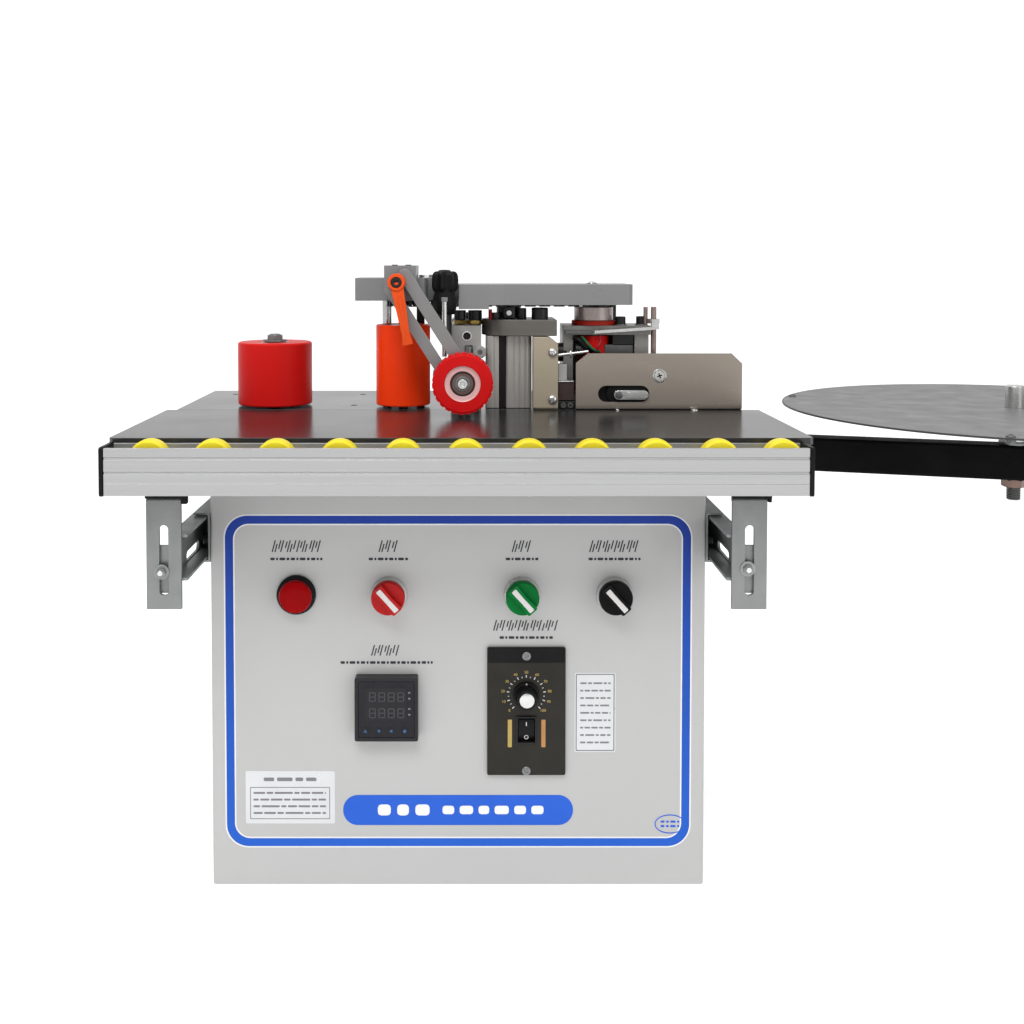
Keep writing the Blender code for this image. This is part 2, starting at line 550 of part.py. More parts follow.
carrier = add("wheel_carrier", prism(
    link_outline(ARM_END_A, WHEEL_AXIS, 6.0, 7.0), "Y", ARM_Y1 + 0.5, ARM_Y1 + 5.5), GREY,
    (ARM_END_A[0], ARM_Y1 + 0.5, ARM_END_A[1]))
join(carrier, prism(link_outline(ARM_END_B, (WHEEL_AXIS[0] - 2.0, WHEEL_AXIS[1] + 6.0), 6.0, 6.0),
                    "Y", ARM_Y1 + 0.5, ARM_Y1 + 5.5))
pins = rod(*ARM_END_A, PIN_R, "Y", ARM_Y0, ARM_Y1 + 3, 20)
rod(*ARM_END_B, PIN_R, "Y", ARM_Y0, ARM_Y1 + 3, 20, pins)
rod(*WHEEL_AXIS, 4.0, "Y", -71.0, ARM_Y1 + 3, 20, pins)
join(carrier, pins)
join(carrier, rod(*WHEEL_AXIS, 6.2, "Y", -50.6, ARM_Y1 + 3, 20))

PW0, PW1 = -70.5, -51.5


def notched(r, depth, count):
    pts = []
    for i in range(count):
        base = 2 * math.pi * i / count
        step = 2 * math.pi / count
        for frac, rr in ((0.0, r), (0.62, r), (0.72, r - depth), (0.90, r - depth)):
            a = base + frac * step
            pts.append((WHEEL_AXIS[0] + rr * math.cos(a), WHEEL_AXIS[1] + rr * math.sin(a)))
    return pts


press = add("press_wheel", prism(notched(PRESS_R, 0.8, 26), "Y", PW0, PW1), RED,
            (WHEEL_AXIS[0], PW0, WHEEL_AXIS[1]))
cut(press, lathe([(0.0, PW0 - 3), (14.6, PW0 - 3), (14.6, PW0 + 1.2), (10.2, PW0 + 1.2),
                  (10.2, PW0 + 2.4), (4.4, PW0 + 2.4), (4.4, PW1 + 3), (0.0, PW1 + 3)], "Y", *WHEEL_AXIS, 28))

# ---- clamp lever ----------------------------------------------------------------------------------
CL0, CL1 = -64.0, -50.6
lever = add("clamp_lever", rod(*CLAMP, 7.2, "Y", CL0, CL1, 24), ORANGE_PL, (CLAMP[0], CL0, CLAMP[1]))
join(lever, prism(link_outline((CLAMP[0] + 0.8, CLAMP[1] - 5.0), (-42.0, 417.6), 5.2, 3.5), "Y", CL0 + 1.0, CL0 + 7.0))
join(lever, rod(*CLAMP, 2.0, "Y", CL1 - 3.0, -27.5, 14))

# ---- star knob with its spindle ---------------------------------------------------------------------
def star(r, lobes, depth, seg):
    pts = []
    for i in range(seg):
        a = 2 * math.pi * i / seg
        rr = r - depth * (0.5 - 0.5 * math.cos(lobes * a))
        pts.append((STAR[0] + rr * math.cos(a), STAR[1] + rr * math.sin(a)))
    return pts


knob = add("star_knob", prism(star(11.7, 7, 2.2, 42), "Z", 459.8, 474.0), BLACK_PL, (*STAR, 460.0))
join(knob, lathe([(0.0, 419.2), (6.3, 419.2), (6.3, 442.0), (9.8, 443.5), (9.8, 461.5), (0.0, 461.5)],
                 "Z", *STAR, 20))

# ---- column, cap and side plate ------------------------------------------------------------------------
column = add("column", block(22.9, 62.4, -6.0, 34.0, TZ + GAP, 418.0), ALU)
cut(column, rod(*DRIVE, 8.0, "Z", TZ - 5, 425, 20))
slots = block(34.1, 40.2, -9.0, -1.5, TZ - 5, 425)
block(38.0, 46.0, 29.0, 40.0, TZ - 5, 425, slots)
cut(column, slots)

cap = add("column_cap", prism(
    [(47.4 + 28.0 * math.cos(math.radians(90 + 10 * i)), 14.0 + 28.0 * math.sin(math.radians(90 + 10 * i)))
     for i in range(19)] + [(83.5, -14.0), (83.5, 42.0)], "Z", 418.4, 432.4), DARK_GREY)
cut(cap, rod(*DRIVE, 5.5, "Z", 410, 440, 20))
join(cap, rod(69.5, -2.0, 7.2, "Z", 430.0, 442.4, 18))

side = add("column_side_plate", block(62.9, 84.1, -19.0, -16.0, TZ + 1.8, 417.9), BEIGE)
join(side, block(64.5, 84.1, -17.0, 30.0, TZ + GAP, 417.9))
bevel(side, 0.6, 1)

# ---- glue pot ----------------------------------------------------------------------------------------
pot = add("glue_pot", block(-7.3, 18.8, -7.0, 80.0, TZ + GAP, 427.2), ALU)
cut(pot, block(-3.3, 14.8, 52.0, 76.0, 376.0, 440.0))
cut(pot, rod(*GLUE, GLUE_R + 0.6, "Z", TZ - 5, 401.6, 24))
cut(pot, rod(*GLUE, 3.5, "Z", 399.0, 410.0, 16))
cut(pot, rod(6.4, 418.0, 3.2, "Y", -12, 6, 14))
lid2 = add("glue_pot_lid", block(-7.3, 18.8, 48.0, 80.0, 427.5, 430.3), ALU, (5.7, 80.0, 427.5))
bevel(lid2, 0.6, 1)
join(lid2, rod(5.7, 55.0, 3.0, "Z", 429.0, 436.0, 14))

# ---- tape guard and slider ------------------------------------------------------------------------------
guard = add("tape_guard", prism(
    [(99.5, 358.0), (241.3, 358.0), (241.3, 395.2), (232.3, 403.8), (109.8, 403.8), (99.5, 395.6)],
    "Y", -17.0, -15.2), STAINLESS)
join(guard, block(99.5, 241.3, -16.6, 1.0, TZ + GAP, TZ + 2.1))
join(guard, block(99.5, 241.3, -16.6, -15.2, TZ + GAP, 360.0))
cut(guard, prism(slot_outline(118.4, 162.2, 362.2, 376.3, 8), "Y", -20, -10))
slider = add("guard_slider", prism(slot_outline(131.8, 161.2, 364.4, 372.4, 8), "Y", -19.4, -12.6), ZINC,
             (146.0, -16.0, 368.4))
join(slider, prism(slot_outline(126.0, 166.0, 361.0, 377.5, 8), "Y", -14.9, -12.9))

# ---- cutter block with posts and rod ---------------------------------------------------------------------
cutter = add("cutter_block", block(88.0, 173.0, 2.0, 45.0, TZ + GAP, 364.5), DARK_GREY)
join(cutter, block(90.4, 98.6, 2.0, 45.0, 362.0, 422.0))
join(cutter, block(152.1, 164.3, 2.0, 45.0, 362.0, 422.0))
join(cutter, block(90.4, 165.8, 0.5, 45.0, 418.6, 426.6))
join(cutter, rod(169.0, 5.0, 2.4, "Z", 363.0, 442.8, 14))
cut(cutter, rod(*TAPE, 5.6, "Z", 415, 430, 20))
cut(cutter, rod(*TAPE, 3.6, "Z", 363.5, 372, 16))
pins = rod(140.4, 8.0, 4.6, "Z", 425.0, 434.4, 16)
rod(159.6, 14.0, 4.6, "Z", 425.0, 434.4, 16, pins)
join(cutter, pins)

lever2 = add("cutter_lever", prism(
    [(169.0, 423.4), (169.0, 426.0), (116.6, 422.6), (116.6, 420.0)], "Y", -5.0, -1.4), STAINLESS,
    (169.0, 5.0, 424.0))
join(lever2, rod(169.0, 5.0, 5.4, "Z", 428.4, 432.4, 18))
join(lever2, block(165.8, 172.2, -5.0, -0.4, 423.6, 430.0))
join(lever2, block(165.8, 172.2, -4.6, 3.0, 428.4, 432.4))
cut(lever2, rod(169.0, 5.0, 2.8, "Z", 420, 440, 16))

# ---- motor ----------------------------------------------------------------------------------------------
motor = add("drive_motor", block(-2.0, 88.0, -31.0, 59.0, 262.0, T0 - GAP), BLACK_ST)
bevel(motor, 2.0, 1, 50)
join(motor, rod(43.0, 14.0, 43.0, "Z", 165.0, 265.0, 28))
cut(motor, rod(*DRIVE, 5.6, "Z", 330.0, 360.0, 20))

# ---- reel bracket, arm, spindle and disc -------------------------------------------------------------------
RP, RA = REEL_PIVOT, REEL_AXIS
bx = HX + GAP
bracket = add("reel_bracket", block(bx, bx + 4.0, 78.0, 119.0, 278.0, 331.0), BLACK_ST)
join(bracket, prism([(bx + 2, 88.0), (RP[0], 88.0), (RP[0] + 11, 93.0), (RP[0] + 14, 104.0),
                     (RP[0] + 11, 115.0), (RP[0], 119.0), (bx + 2, 119.0)], "Z", 283.0, 288.6))
join(bracket, prism([(bx + 2, 88.0), (RP[0], 88.0), (RP[0] + 11, 93.0), (RP[0] + 14, 104.0),
                     (RP[0] + 11, 115.0), (RP[0], 119.0), (bx + 2, 119.0)], "Z", 319.9, 325.0))
join(bracket, rod(RP[0], RP[1], 4.0, "Z", 285.0, 330.0, 16))

angle = math.atan2(RA[1] - RP[1], RA[0] - RP[0])
length = math.hypot(RA[0] - RP[0], RA[1] - RP[1])


def along(points):
    return [(RP[0] + u * math.cos(angle) - v * math.sin(angle),
             RP[1] + u * math.sin(angle) + v * math.cos(angle)) for u, v in points]


HALF = 14.0
swing = empty("reel_arm_swing", (RP[0], RP[1], ARM_Z0))
arm = add("reel_arm", prism(along([(-9.0, -HALF), (length + 20.0, -HALF), (length + 20.0, HALF), (-9.0, HALF)]),
                            "Z", ARM_Z0, ARM_Z1), BLACK_ST, (RP[0], RP[1], ARM_Z0), parent=swing)
cut(arm, prism(along([(-20.0, -HALF + 2), (length + 30.0, -HALF + 2), (length + 30.0, HALF - 2), (-20.0, HALF - 2)]),
               "Z", ARM_Z0 + 2, ARM_Z1 - 2))
cut(arm, rod(RP[0], RP[1], 4.6, "Z", ARM_Z0 - 5, ARM_Z1 + 5, 16))
cut(arm, rod(RA[0], RA[1], 6.4, "Z", ARM_Z0 - 5, ARM_Z1 + 5, 16))

spindle = [(0.0, 270.0), (5.4, 270.0), (6.0, 271.0), (6.0, 281.5), (10.4, 281.5), (10.4, ARM_Z0 - GAP),
           (6.0, ARM_Z0 - GAP), (6.0, ARM_Z1 + GAP), (13.0, ARM_Z1 + GAP), (13.0, DISC_Z - 1.9), (8.0, DISC_Z - 1.9),
           (8.0, 371.4), (7.2, 372.2), (0.0, 372.2)]
add("reel_spindle", lathe(spindle, "Z", *RA, 16), ZINC, (*RA, DISC_Z), smooth=True, parent=swing)
disc = [(8.4, DISC_Z - 1.5), (REEL_R, DISC_Z - 1.5), (REEL_R, DISC_Z), (8.4, DISC_Z)]
add("reel_disc", lathe(disc, "Z", *RA, 56), DISC_PAINT, (*RA, DISC_Z), parent=swing)
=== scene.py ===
import math

import bmesh
import bpy
from mathutils import Matrix, Vector


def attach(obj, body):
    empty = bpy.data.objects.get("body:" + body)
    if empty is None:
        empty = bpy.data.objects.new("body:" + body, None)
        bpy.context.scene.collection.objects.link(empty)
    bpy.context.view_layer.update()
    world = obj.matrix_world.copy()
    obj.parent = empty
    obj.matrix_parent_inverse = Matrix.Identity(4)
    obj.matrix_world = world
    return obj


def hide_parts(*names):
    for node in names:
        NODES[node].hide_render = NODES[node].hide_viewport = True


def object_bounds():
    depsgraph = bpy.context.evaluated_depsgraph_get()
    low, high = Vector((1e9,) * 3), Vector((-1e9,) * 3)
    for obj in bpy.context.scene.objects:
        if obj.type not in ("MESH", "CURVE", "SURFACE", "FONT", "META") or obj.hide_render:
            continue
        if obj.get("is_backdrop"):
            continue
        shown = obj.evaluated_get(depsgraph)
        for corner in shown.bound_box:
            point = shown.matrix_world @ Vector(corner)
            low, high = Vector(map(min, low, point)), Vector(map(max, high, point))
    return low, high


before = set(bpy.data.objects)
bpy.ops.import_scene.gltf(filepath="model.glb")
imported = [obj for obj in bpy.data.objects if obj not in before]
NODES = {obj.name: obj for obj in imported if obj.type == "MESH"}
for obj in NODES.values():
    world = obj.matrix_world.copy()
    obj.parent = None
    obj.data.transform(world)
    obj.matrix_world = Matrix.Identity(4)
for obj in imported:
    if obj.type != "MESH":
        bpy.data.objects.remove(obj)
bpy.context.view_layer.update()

MM = 0.001


# =============================================================================
# materials
# =============================================================================
def lin(r, g, b):
    """sRGB 0-255 to linear."""
    out = []
    for c in (r, g, b):
        c /= 255.0
        out.append(c / 12.92 if c <= 0.04045 else ((c + 0.055) / 1.055) ** 2.4)
    return tuple(out)


def scaled(rgb, k):
    return tuple(max(0.0, min(1.0, c * k)) for c in rgb)


def finish_material(name, base, second=None, metal=0.0, rough=(0.3, 0.4), tone_scale=14.0,
                    stretch=(1, 1, 1), rough_scale=40.0, bump=0.05, bump_scale=700.0,
                    bump_stretch=None, bump_distance=0.0002, coat=0.0, spec=0.5, speck=None,
                    dirt=None, emission=None, ramp=None):
    """Procedural finish: two tones over a noise, varied roughness, fine bump, optional specks and grime, and an
    optional colour ramp along one axis multiplied in as painted shade.
    """
    mat = bpy.data.materials.new(name)
    mat.use_nodes = True
    tree = mat.node_tree
    n, l = tree.nodes, tree.links
    bsdf = n["Principled BSDF"]
    bsdf.inputs["Metallic"].default_value = metal
    bsdf.inputs["Coat Weight"].default_value = coat
    bsdf.inputs["Coat Roughness"].default_value = 0.08
    bsdf.inputs["Specular IOR Level"].default_value = spec
    second = second or scaled(base, 0.86)
    coord = n.new("ShaderNodeTexCoord")
    mapping = n.new("ShaderNodeMapping")
    mapping.inputs["Scale"].default_value = stretch
    l.new(coord.outputs["Object"], mapping.inputs["Vector"])
    tone = n.new("ShaderNodeTexNoise")
    tone.inputs["Scale"].default_value = tone_scale
    tone.inputs["Detail"].default_value = 6.0
    tone.inputs["Roughness"].default_value = 0.62
    l.new(mapping.outputs["Vector"], tone.inputs["Vector"])
    mix = n.new("ShaderNodeMix")
    mix.data_type = "RGBA"
    spread = n.new("ShaderNodeMapRange")
    spread.inputs["From Min"].default_value = 0.3
    spread.inputs["From Max"].default_value = 0.7
    l.new(tone.outputs["Fac"], spread.inputs["Value"])
    l.new(spread.outputs["Result"], mix.inputs["Factor"])
    mix.inputs["A"].default_value = (*base, 1.0)
    mix.inputs["B"].default_value = (*second, 1.0)
    colour = mix.outputs["Result"]
    # optional ramp: painted shade, a colour ramp along one object axis multiplied into the colour
    if ramp:
        axis, stops = ramp
        split = n.new("ShaderNodeSeparateXYZ")
        l.new(coord.outputs["Object"], split.inputs["Vector"])
        low, high = stops[0][0], stops[-1][0]
        rng = n.new("ShaderNodeMapRange")
        rng.inputs["From Min"].default_value = low
        rng.inputs["From Max"].default_value = high
        l.new(split.outputs[axis], rng.inputs["Value"])
        cr = n.new("ShaderNodeValToRGB")
        while len(cr.color_ramp.elements) < len(stops):
            cr.color_ramp.elements.new(0.5)
        for element, (at, rgb) in zip(cr.color_ramp.elements, stops):
            element.position = (at - low) / (high - low)
            element.color = (*rgb, 1.0)
        l.new(rng.outputs["Result"], cr.inputs["Fac"])
        painted_shade_mix = n.new("ShaderNodeMix")
        painted_shade_mix.data_type = "RGBA"
        painted_shade_mix.blend_type = "MULTIPLY"
        painted_shade_mix.inputs["Factor"].default_value = 1.0
        l.new(colour, painted_shade_mix.inputs["A"])
        l.new(cr.outputs["Color"], painted_shade_mix.inputs["B"])
        colour = painted_shade_mix.outputs["Result"]
    if speck:
        rgb, scale, amount = speck
        dots = n.new("ShaderNodeTexNoise")
        dots.inputs["Scale"].default_value = scale
        dots.inputs["Detail"].default_value = 3.0
        l.new(coord.outputs["Object"], dots.inputs["Vector"])
        cut_at = n.new("ShaderNodeMapRange")
        cut_at.inputs["From Min"].default_value = 0.66
        cut_at.inputs["From Max"].default_value = 0.78
        cut_at.inputs["To Max"].default_value = amount
        l.new(dots.outputs["Fac"], cut_at.inputs["Value"])
        over = n.new("ShaderNodeMix")
        over.data_type = "RGBA"
        l.new(cut_at.outputs["Result"], over.inputs["Factor"])
        l.new(colour, over.inputs["A"])
        over.inputs["B"].default_value = (*rgb, 1.0)
        colour = over.outputs["Result"]
    if dirt:
        rgb, scale, amount = dirt
        cloud = n.new("ShaderNodeTexNoise")
        cloud.inputs["Scale"].default_value = scale
        cloud.inputs["Detail"].default_value = 8.0
        cloud.inputs["Roughness"].default_value = 0.7
        l.new(coord.outputs["Object"], cloud.inputs["Vector"])
        soft = n.new("ShaderNodeMapRange")
        soft.inputs["From Min"].default_value = 0.45
        soft.inputs["From Max"].default_value = 0.75
        soft.inputs["To Max"].default_value = amount
        l.new(cloud.outputs["Fac"], soft.inputs["Value"])
        over = n.new("ShaderNodeMix")
        over.data_type = "RGBA"
        l.new(soft.outputs["Result"], over.inputs["Factor"])
        l.new(colour, over.inputs["A"])
        over.inputs["B"].default_value = (*rgb, 1.0)
        colour = over.outputs["Result"]
    l.new(colour, bsdf.inputs["Base Color"])
    wear = n.new("ShaderNodeTexNoise")
    wear.inputs["Scale"].default_value = rough_scale
    wear.inputs["Detail"].default_value = 5.0
    l.new(mapping.outputs["Vector"], wear.inputs["Vector"])
    rr = n.new("ShaderNodeMapRange")
    rr.inputs["From Min"].default_value = 0.3
    rr.inputs["From Max"].default_value = 0.7
    rr.inputs["To Min"].default_value = rough[0]
    rr.inputs["To Max"].default_value = rough[1]
    l.new(wear.outputs["Fac"], rr.inputs["Value"])
    l.new(rr.outputs["Result"], bsdf.inputs["Roughness"])
    if bump:
        grain = n.new("ShaderNodeTexNoise")
        grain.inputs["Scale"].default_value = bump_scale
        grain.inputs["Detail"].default_value = 4.0
        if bump_stretch:
            gm = n.new("ShaderNodeMapping")
            gm.inputs["Scale"].default_value = bump_stretch
            l.new(coord.outputs["Object"], gm.inputs["Vector"])
            l.new(gm.outputs["Vector"], grain.inputs["Vector"])
        else:
            l.new(coord.outputs["Object"], grain.inputs["Vector"])
        bn = n.new("ShaderNodeBump")
        bn.inputs["Strength"].default_value = bump
        bn.inputs["Distance"].default_value = bump_distance
        l.new(grain.outputs["Fac"], bn.inputs["Height"])
        l.new(bn.outputs["Normal"], bsdf.inputs["Normal"])
    if emission:
        rgb, strength = emission
        bsdf.inputs["Emission Color"].default_value = (*rgb, 1.0)
        bsdf.inputs["Emission Strength"].default_value = strength
    return mat


M = {
    "cabinet": finish_material("cabinet_paint_v", (0.432, 0.432, 0.428), (0.416, 0.416, 0.412), rough=(0.36, 0.50),
                               tone_scale=5.0, bump=0.16, bump_scale=1100.0, spec=0.35,
                               dirt=((0.40, 0.395, 0.38), 7.0, 0.10)),
    "table": finish_material("table_black_v", (0.019, 0.019, 0.020), (0.023, 0.022, 0.022), rough=(0.16, 0.23),
                             tone_scale=9.0, rough_scale=14.0, bump=0.02, bump_scale=420.0, spec=0.44,
                             speck=((0.10, 0.10, 0.10), 260.0, 0.10)),
    # rear table: a lighter, more specular copy of the front table's black, painted light for the rear plate's brighter
    # look
    "table_rear_lit": finish_material("table_rear_lit_v", (0.022, 0.022, 0.023), (0.028, 0.027, 0.027), rough=(0.16, 0.22),
                                  tone_scale=9.0, rough_scale=14.0, bump=0.03, bump_scale=420.0, spec=0.80,
                                  speck=((0.10, 0.10, 0.10), 260.0, 0.10)),
    "alu_x": finish_material("aluminium_bar_v", (0.40, 0.40, 0.403), (0.37, 0.37, 0.373), metal=0.55,
                             rough=(0.30, 0.40), tone_scale=16.0, stretch=(0.25, 30.0, 30.0),
                             bump=0.06, bump_scale=300.0, bump_stretch=(0.12, 6.0, 6.0)),
    "alu_z": finish_material("aluminium_column_v", (0.36, 0.35, 0.33), (0.33, 0.32, 0.30), metal=0.4,
                             rough=(0.24, 0.36), tone_scale=20.0, stretch=(30.0, 30.0, 0.4),
                             bump=0.06, bump_scale=300.0, bump_stretch=(6.0, 6.0, 0.15)),
    "alu_cast": finish_material("aluminium_pot_v", (0.44, 0.44, 0.43), (0.36, 0.355, 0.335), metal=0.5,
                                rough=(0.32, 0.48), tone_scale=60.0, bump=0.16, bump_scale=600.0,
                                speck=((0.30, 0.23, 0.14), 120.0, 0.30)),
    "zinc": finish_material("zinc_steel_v", (0.215, 0.22, 0.22), (0.19, 0.195, 0.195), metal=0.6,
                            rough=(0.30, 0.42), tone_scale=70.0, bump=0.06, bump_scale=500.0),
    "zinc_rail": finish_material("zinc_rail_v", (0.28, 0.30, 0.29), (0.20, 0.22, 0.21), metal=0.35,
                                 rough=(0.30, 0.44), tone_scale=50.0, bump=0.08, bump_scale=500.0),
    "zinc_dark": finish_material("zinc_dark_v", (0.13, 0.132, 0.13), (0.10, 0.102, 0.10), metal=0.5,
                                 rough=(0.30, 0.44), tone_scale=60.0, bump=0.08, bump_scale=500.0),
    "panel_grey": finish_material("panel_grey_v", (0.235, 0.23, 0.212), (0.20, 0.196, 0.18), metal=0.3,
                                  rough=(0.34, 0.46), tone_scale=30.0, bump=0.08, bump_scale=500.0),
    "bright": finish_material("bright_steel_v", (0.62, 0.62, 0.61), (0.52, 0.52, 0.51), metal=0.9,
                              rough=(0.16, 0.28), tone_scale=120.0, bump=0.04, bump_scale=900.0),
    "yellow": finish_material("yellow_nylon_v", (0.78, 0.66, 0.025), (0.72, 0.58, 0.02), rough=(0.32, 0.44),
                              tone_scale=40.0, bump=0.05, bump_scale=500.0, spec=0.25,
                              dirt=((0.45, 0.33, 0.04), 60.0, 0.18)),
    "hub_orange": finish_material("hub_orange_v", (0.50, 0.22, 0.02), (0.42, 0.17, 0.02), rough=(0.35, 0.5),
                                  tone_scale=60.0, bump=0.08, bump_scale=600.0, spec=0.25),
    "red": finish_material("red_urethane_v", (0.56, 0.010, 0.008), (0.52, 0.008, 0.007), rough=(0.30, 0.40),
                           tone_scale=14.0, bump=0.04, bump_scale=420.0, spec=0.07,
                           dirt=((0.47, 0.012, 0.010), 20.0, 0.12)),
    "red_wheel": finish_material("red_wheel_v", (0.58, 0.0075, 0.0085), (0.54, 0.0065, 0.0075), rough=(0.30, 0.42),
                                 tone_scale=50.0, bump=0.05, bump_scale=420.0, spec=0.08),
    "orange": finish_material("orange_urethane_v", (0.96, 0.052, 0.006), (0.92, 0.046, 0.005),
                              rough=(0.26, 0.36), tone_scale=12.0, bump=0.04, bump_scale=420.0, spec=0.08,
                              dirt=((0.84, 0.040, 0.006), 18.0, 0.12)),
    "grey": finish_material("grey_paint_v", (0.196, 0.197, 0.198), (0.182, 0.183, 0.184), rough=(0.26, 0.38),
                            tone_scale=14.0, bump=0.05, bump_scale=900.0, spec=0.55,
                            dirt=((0.18, 0.18, 0.175), 40.0, 0.15)),
    "dark_grey": finish_material("dark_grey_paint_v", (0.132, 0.124, 0.112), (0.112, 0.105, 0.095), metal=0.3,
                                 rough=(0.28, 0.42), tone_scale=14.0, stretch=(0.6, 0.6, 10.0),
                                 bump=0.08, bump_scale=700.0, spec=0.4),
    "stainless": finish_material("stainless_v", (0.295, 0.257, 0.217), (0.288, 0.250, 0.212), metal=0.5,
                                 rough=(0.26, 0.34), tone_scale=5.0, stretch=(0.7, 1.0, 3.0),
                                 bump=0.010, bump_scale=420.0, bump_stretch=(0.5, 1.0, 2.0)),
    "beige": finish_material("beige_steel_v", (0.38, 0.328, 0.243), (0.35, 0.302, 0.221), metal=0.3,
                             rough=(0.30, 0.42), tone_scale=22.0, bump=0.08, bump_scale=500.0,
                             speck=((0.20, 0.17, 0.12), 300.0, 0.20)),
    "black_pl": finish_material("black_plastic_v", (0.005, 0.005, 0.0055), (0.0085, 0.0085, 0.009),
                                rough=(0.30, 0.46), tone_scale=60.0, bump=0.12, bump_scale=1500.0, spec=0.10),
    "black_gloss": finish_material("black_gloss_v", (0.008, 0.008, 0.010), (0.012, 0.012, 0.014),
                                   rough=(0.10, 0.18), tone_scale=30.0, bump=0.02, bump_scale=300.0, spec=0.22),
    "face_dark": finish_material("face_dark_v", (0.012, 0.012, 0.015), (0.016, 0.016, 0.020),
                                 rough=(0.22, 0.34), tone_scale=80.0, bump=0.04, bump_scale=900.0, spec=0.15),
    "black_st": finish_material("black_steel_v", (0.0040, 0.0040, 0.0045), (0.007, 0.007, 0.0075),
                                rough=(0.42, 0.58), tone_scale=22.0, bump=0.14, bump_scale=900.0, spec=0.035,
                                speck=((0.035, 0.033, 0.031), 150.0, 0.12)),
    "black_ox": finish_material("black_oxide_v", (0.010, 0.010, 0.011), (0.020, 0.020, 0.021), metal=0.3,
                                rough=(0.28, 0.44), tone_scale=160.0, bump=0.10, bump_scale=1200.0, spec=0.35),
    "disc": finish_material("reel_grey_v", (0.155, 0.155, 0.155), (0.148, 0.148, 0.148), rough=(0.36, 0.50),
                            tone_scale=10.0, bump=0.10, bump_scale=800.0, spec=0.22,
                            dirt=((0.138, 0.138, 0.138), 6.0, 0.08)),
    "disc_edge": finish_material("reel_edge_v", (0.045, 0.045, 0.045), (0.035, 0.035, 0.035), rough=(0.4, 0.5),
                                 tone_scale=60.0, bump=0.10, bump_scale=900.0, spec=0.2),
    "lever": finish_material("orange_plastic_v", (0.68, 0.075, 0.010), (0.62, 0.062, 0.008), rough=(0.32, 0.46),
                             tone_scale=60.0, bump=0.10, bump_scale=1200.0, spec=0.14),
    "lamp": finish_material("lamp_red_v", (0.26, 0.0014, 0.0026), (0.22, 0.0011, 0.0020), rough=(0.10, 0.18),
                            tone_scale=90.0, bump=0.05, bump_scale=420.0, spec=0.04,
                            emission=((0.8, 0.005, 0.01), 0.015)),
    "knob_red": finish_material("knob_red_v", (0.40, 0.0065, 0.0065), (0.36, 0.0055, 0.0055), rough=(0.30, 0.42),
                                tone_scale=60.0, bump=0.06, bump_scale=1200.0, spec=0.15),
    "knob_green": finish_material("knob_green_v", (0.002, 0.150, 0.030), (0.0016, 0.130, 0.025), rough=(0.30, 0.42),
                                  tone_scale=60.0, bump=0.06, bump_scale=1200.0, spec=0.06),
    "knob_black": finish_material("knob_black_v", (0.006, 0.006, 0.0065), (0.0045, 0.0045, 0.005), rough=(0.28, 0.42),
                                  tone_scale=60.0, bump=0.06, bump_scale=1200.0, spec=0.06),
    "insert": finish_material("white_insert_v", (0.60, 0.58, 0.57), (0.55, 0.53, 0.52), rough=(0.30, 0.42),
                              tone_scale=80.0, bump=0.05, bump_scale=1200.0, spec=0.3),
    "bezel": finish_material("bezel_silver_v", (0.56, 0.56, 0.55), (0.50, 0.50, 0.49), metal=0.5,
                             rough=(0.24, 0.36), tone_scale=50.0, bump=0.06, bump_scale=900.0),
    "speed": finish_material("speed_plate_v", (0.017, 0.0155, 0.011), (0.014, 0.0125, 0.009), rough=(0.34, 0.48),
                             tone_scale=40.0, bump=0.12, bump_scale=1500.0, spec=0.2),
    # blue print of the panel frame; the ramp darkens it towards the top as painted shade
    "print_blue_painted_shade": finish_material("print_blue_painted_shade_v", (0.84, 0.80, 0.74), (0.80, 0.76, 0.70), rough=(0.30, 0.38),
                                  tone_scale=20.0, bump=0.03, bump_scale=500.0, spec=0.12,
                                  ramp=("Z", [(0.030, lin(40, 100, 214)), (0.150, lin(38, 88, 194)),
                                              (0.288, lin(34, 66, 170))])),
    "print_pill": finish_material("print_pill_v", lin(42, 92, 196), lin(40, 88, 188), rough=(0.30, 0.38),
                                  tone_scale=20.0, bump=0.03, bump_scale=500.0, spec=0.12),
    "print_white": finish_material("print_white_v", (0.74, 0.74, 0.74), (0.70, 0.70, 0.70), rough=(0.34, 0.44),
                                   tone_scale=40.0, bump=0.04, bump_scale=500.0, spec=0.25),
    "print_black": finish_material("print_black_v", (0.028, 0.030, 0.034), (0.04, 0.041, 0.045),
                                   rough=(0.34, 0.44), tone_scale=60.0, bump=0.04, bump_scale=500.0, spec=0.15),
    "print_grey": finish_material("print_grey_v", (0.20, 0.20, 0.21), (0.17, 0.17, 0.18), rough=(0.34, 0.44),
                                  tone_scale=60.0, bump=0.04, bump_scale=500.0, spec=0.2),
    "label": finish_material("label_foil_v", (0.60, 0.61, 0.62), (0.56, 0.57, 0.58), rough=(0.26, 0.36),
                             tone_scale=30.0, bump=0.04, bump_scale=400.0, metal=0.1, spec=0.35),
    "gold": finish_material("print_gold_v", (0.44, 0.32, 0.10), (0.36, 0.26, 0.08), rough=(0.28, 0.40),
                            tone_scale=60.0, bump=0.04, bump_scale=500.0, metal=0.3, spec=0.25),
    "copper": finish_material("print_copper_v", (0.42, 0.21, 0.08), (0.35, 0.17, 0.06), rough=(0.28, 0.40),
                              tone_scale=60.0, bump=0.04, bump_scale=500.0, metal=0.3, spec=0.25),
    "digit": finish_material("digit_dim_v", (0.055, 0.055, 0.062), (0.045, 0.045, 0.05), rough=(0.24, 0.34),
                             tone_scale=60.0, bump=0.03, bump_scale=500.0, spec=0.15),
    "key_blue": finish_material("key_blue_v", (0.05, 0.13, 0.28), (0.04, 0.11, 0.24), rough=(0.26, 0.36),
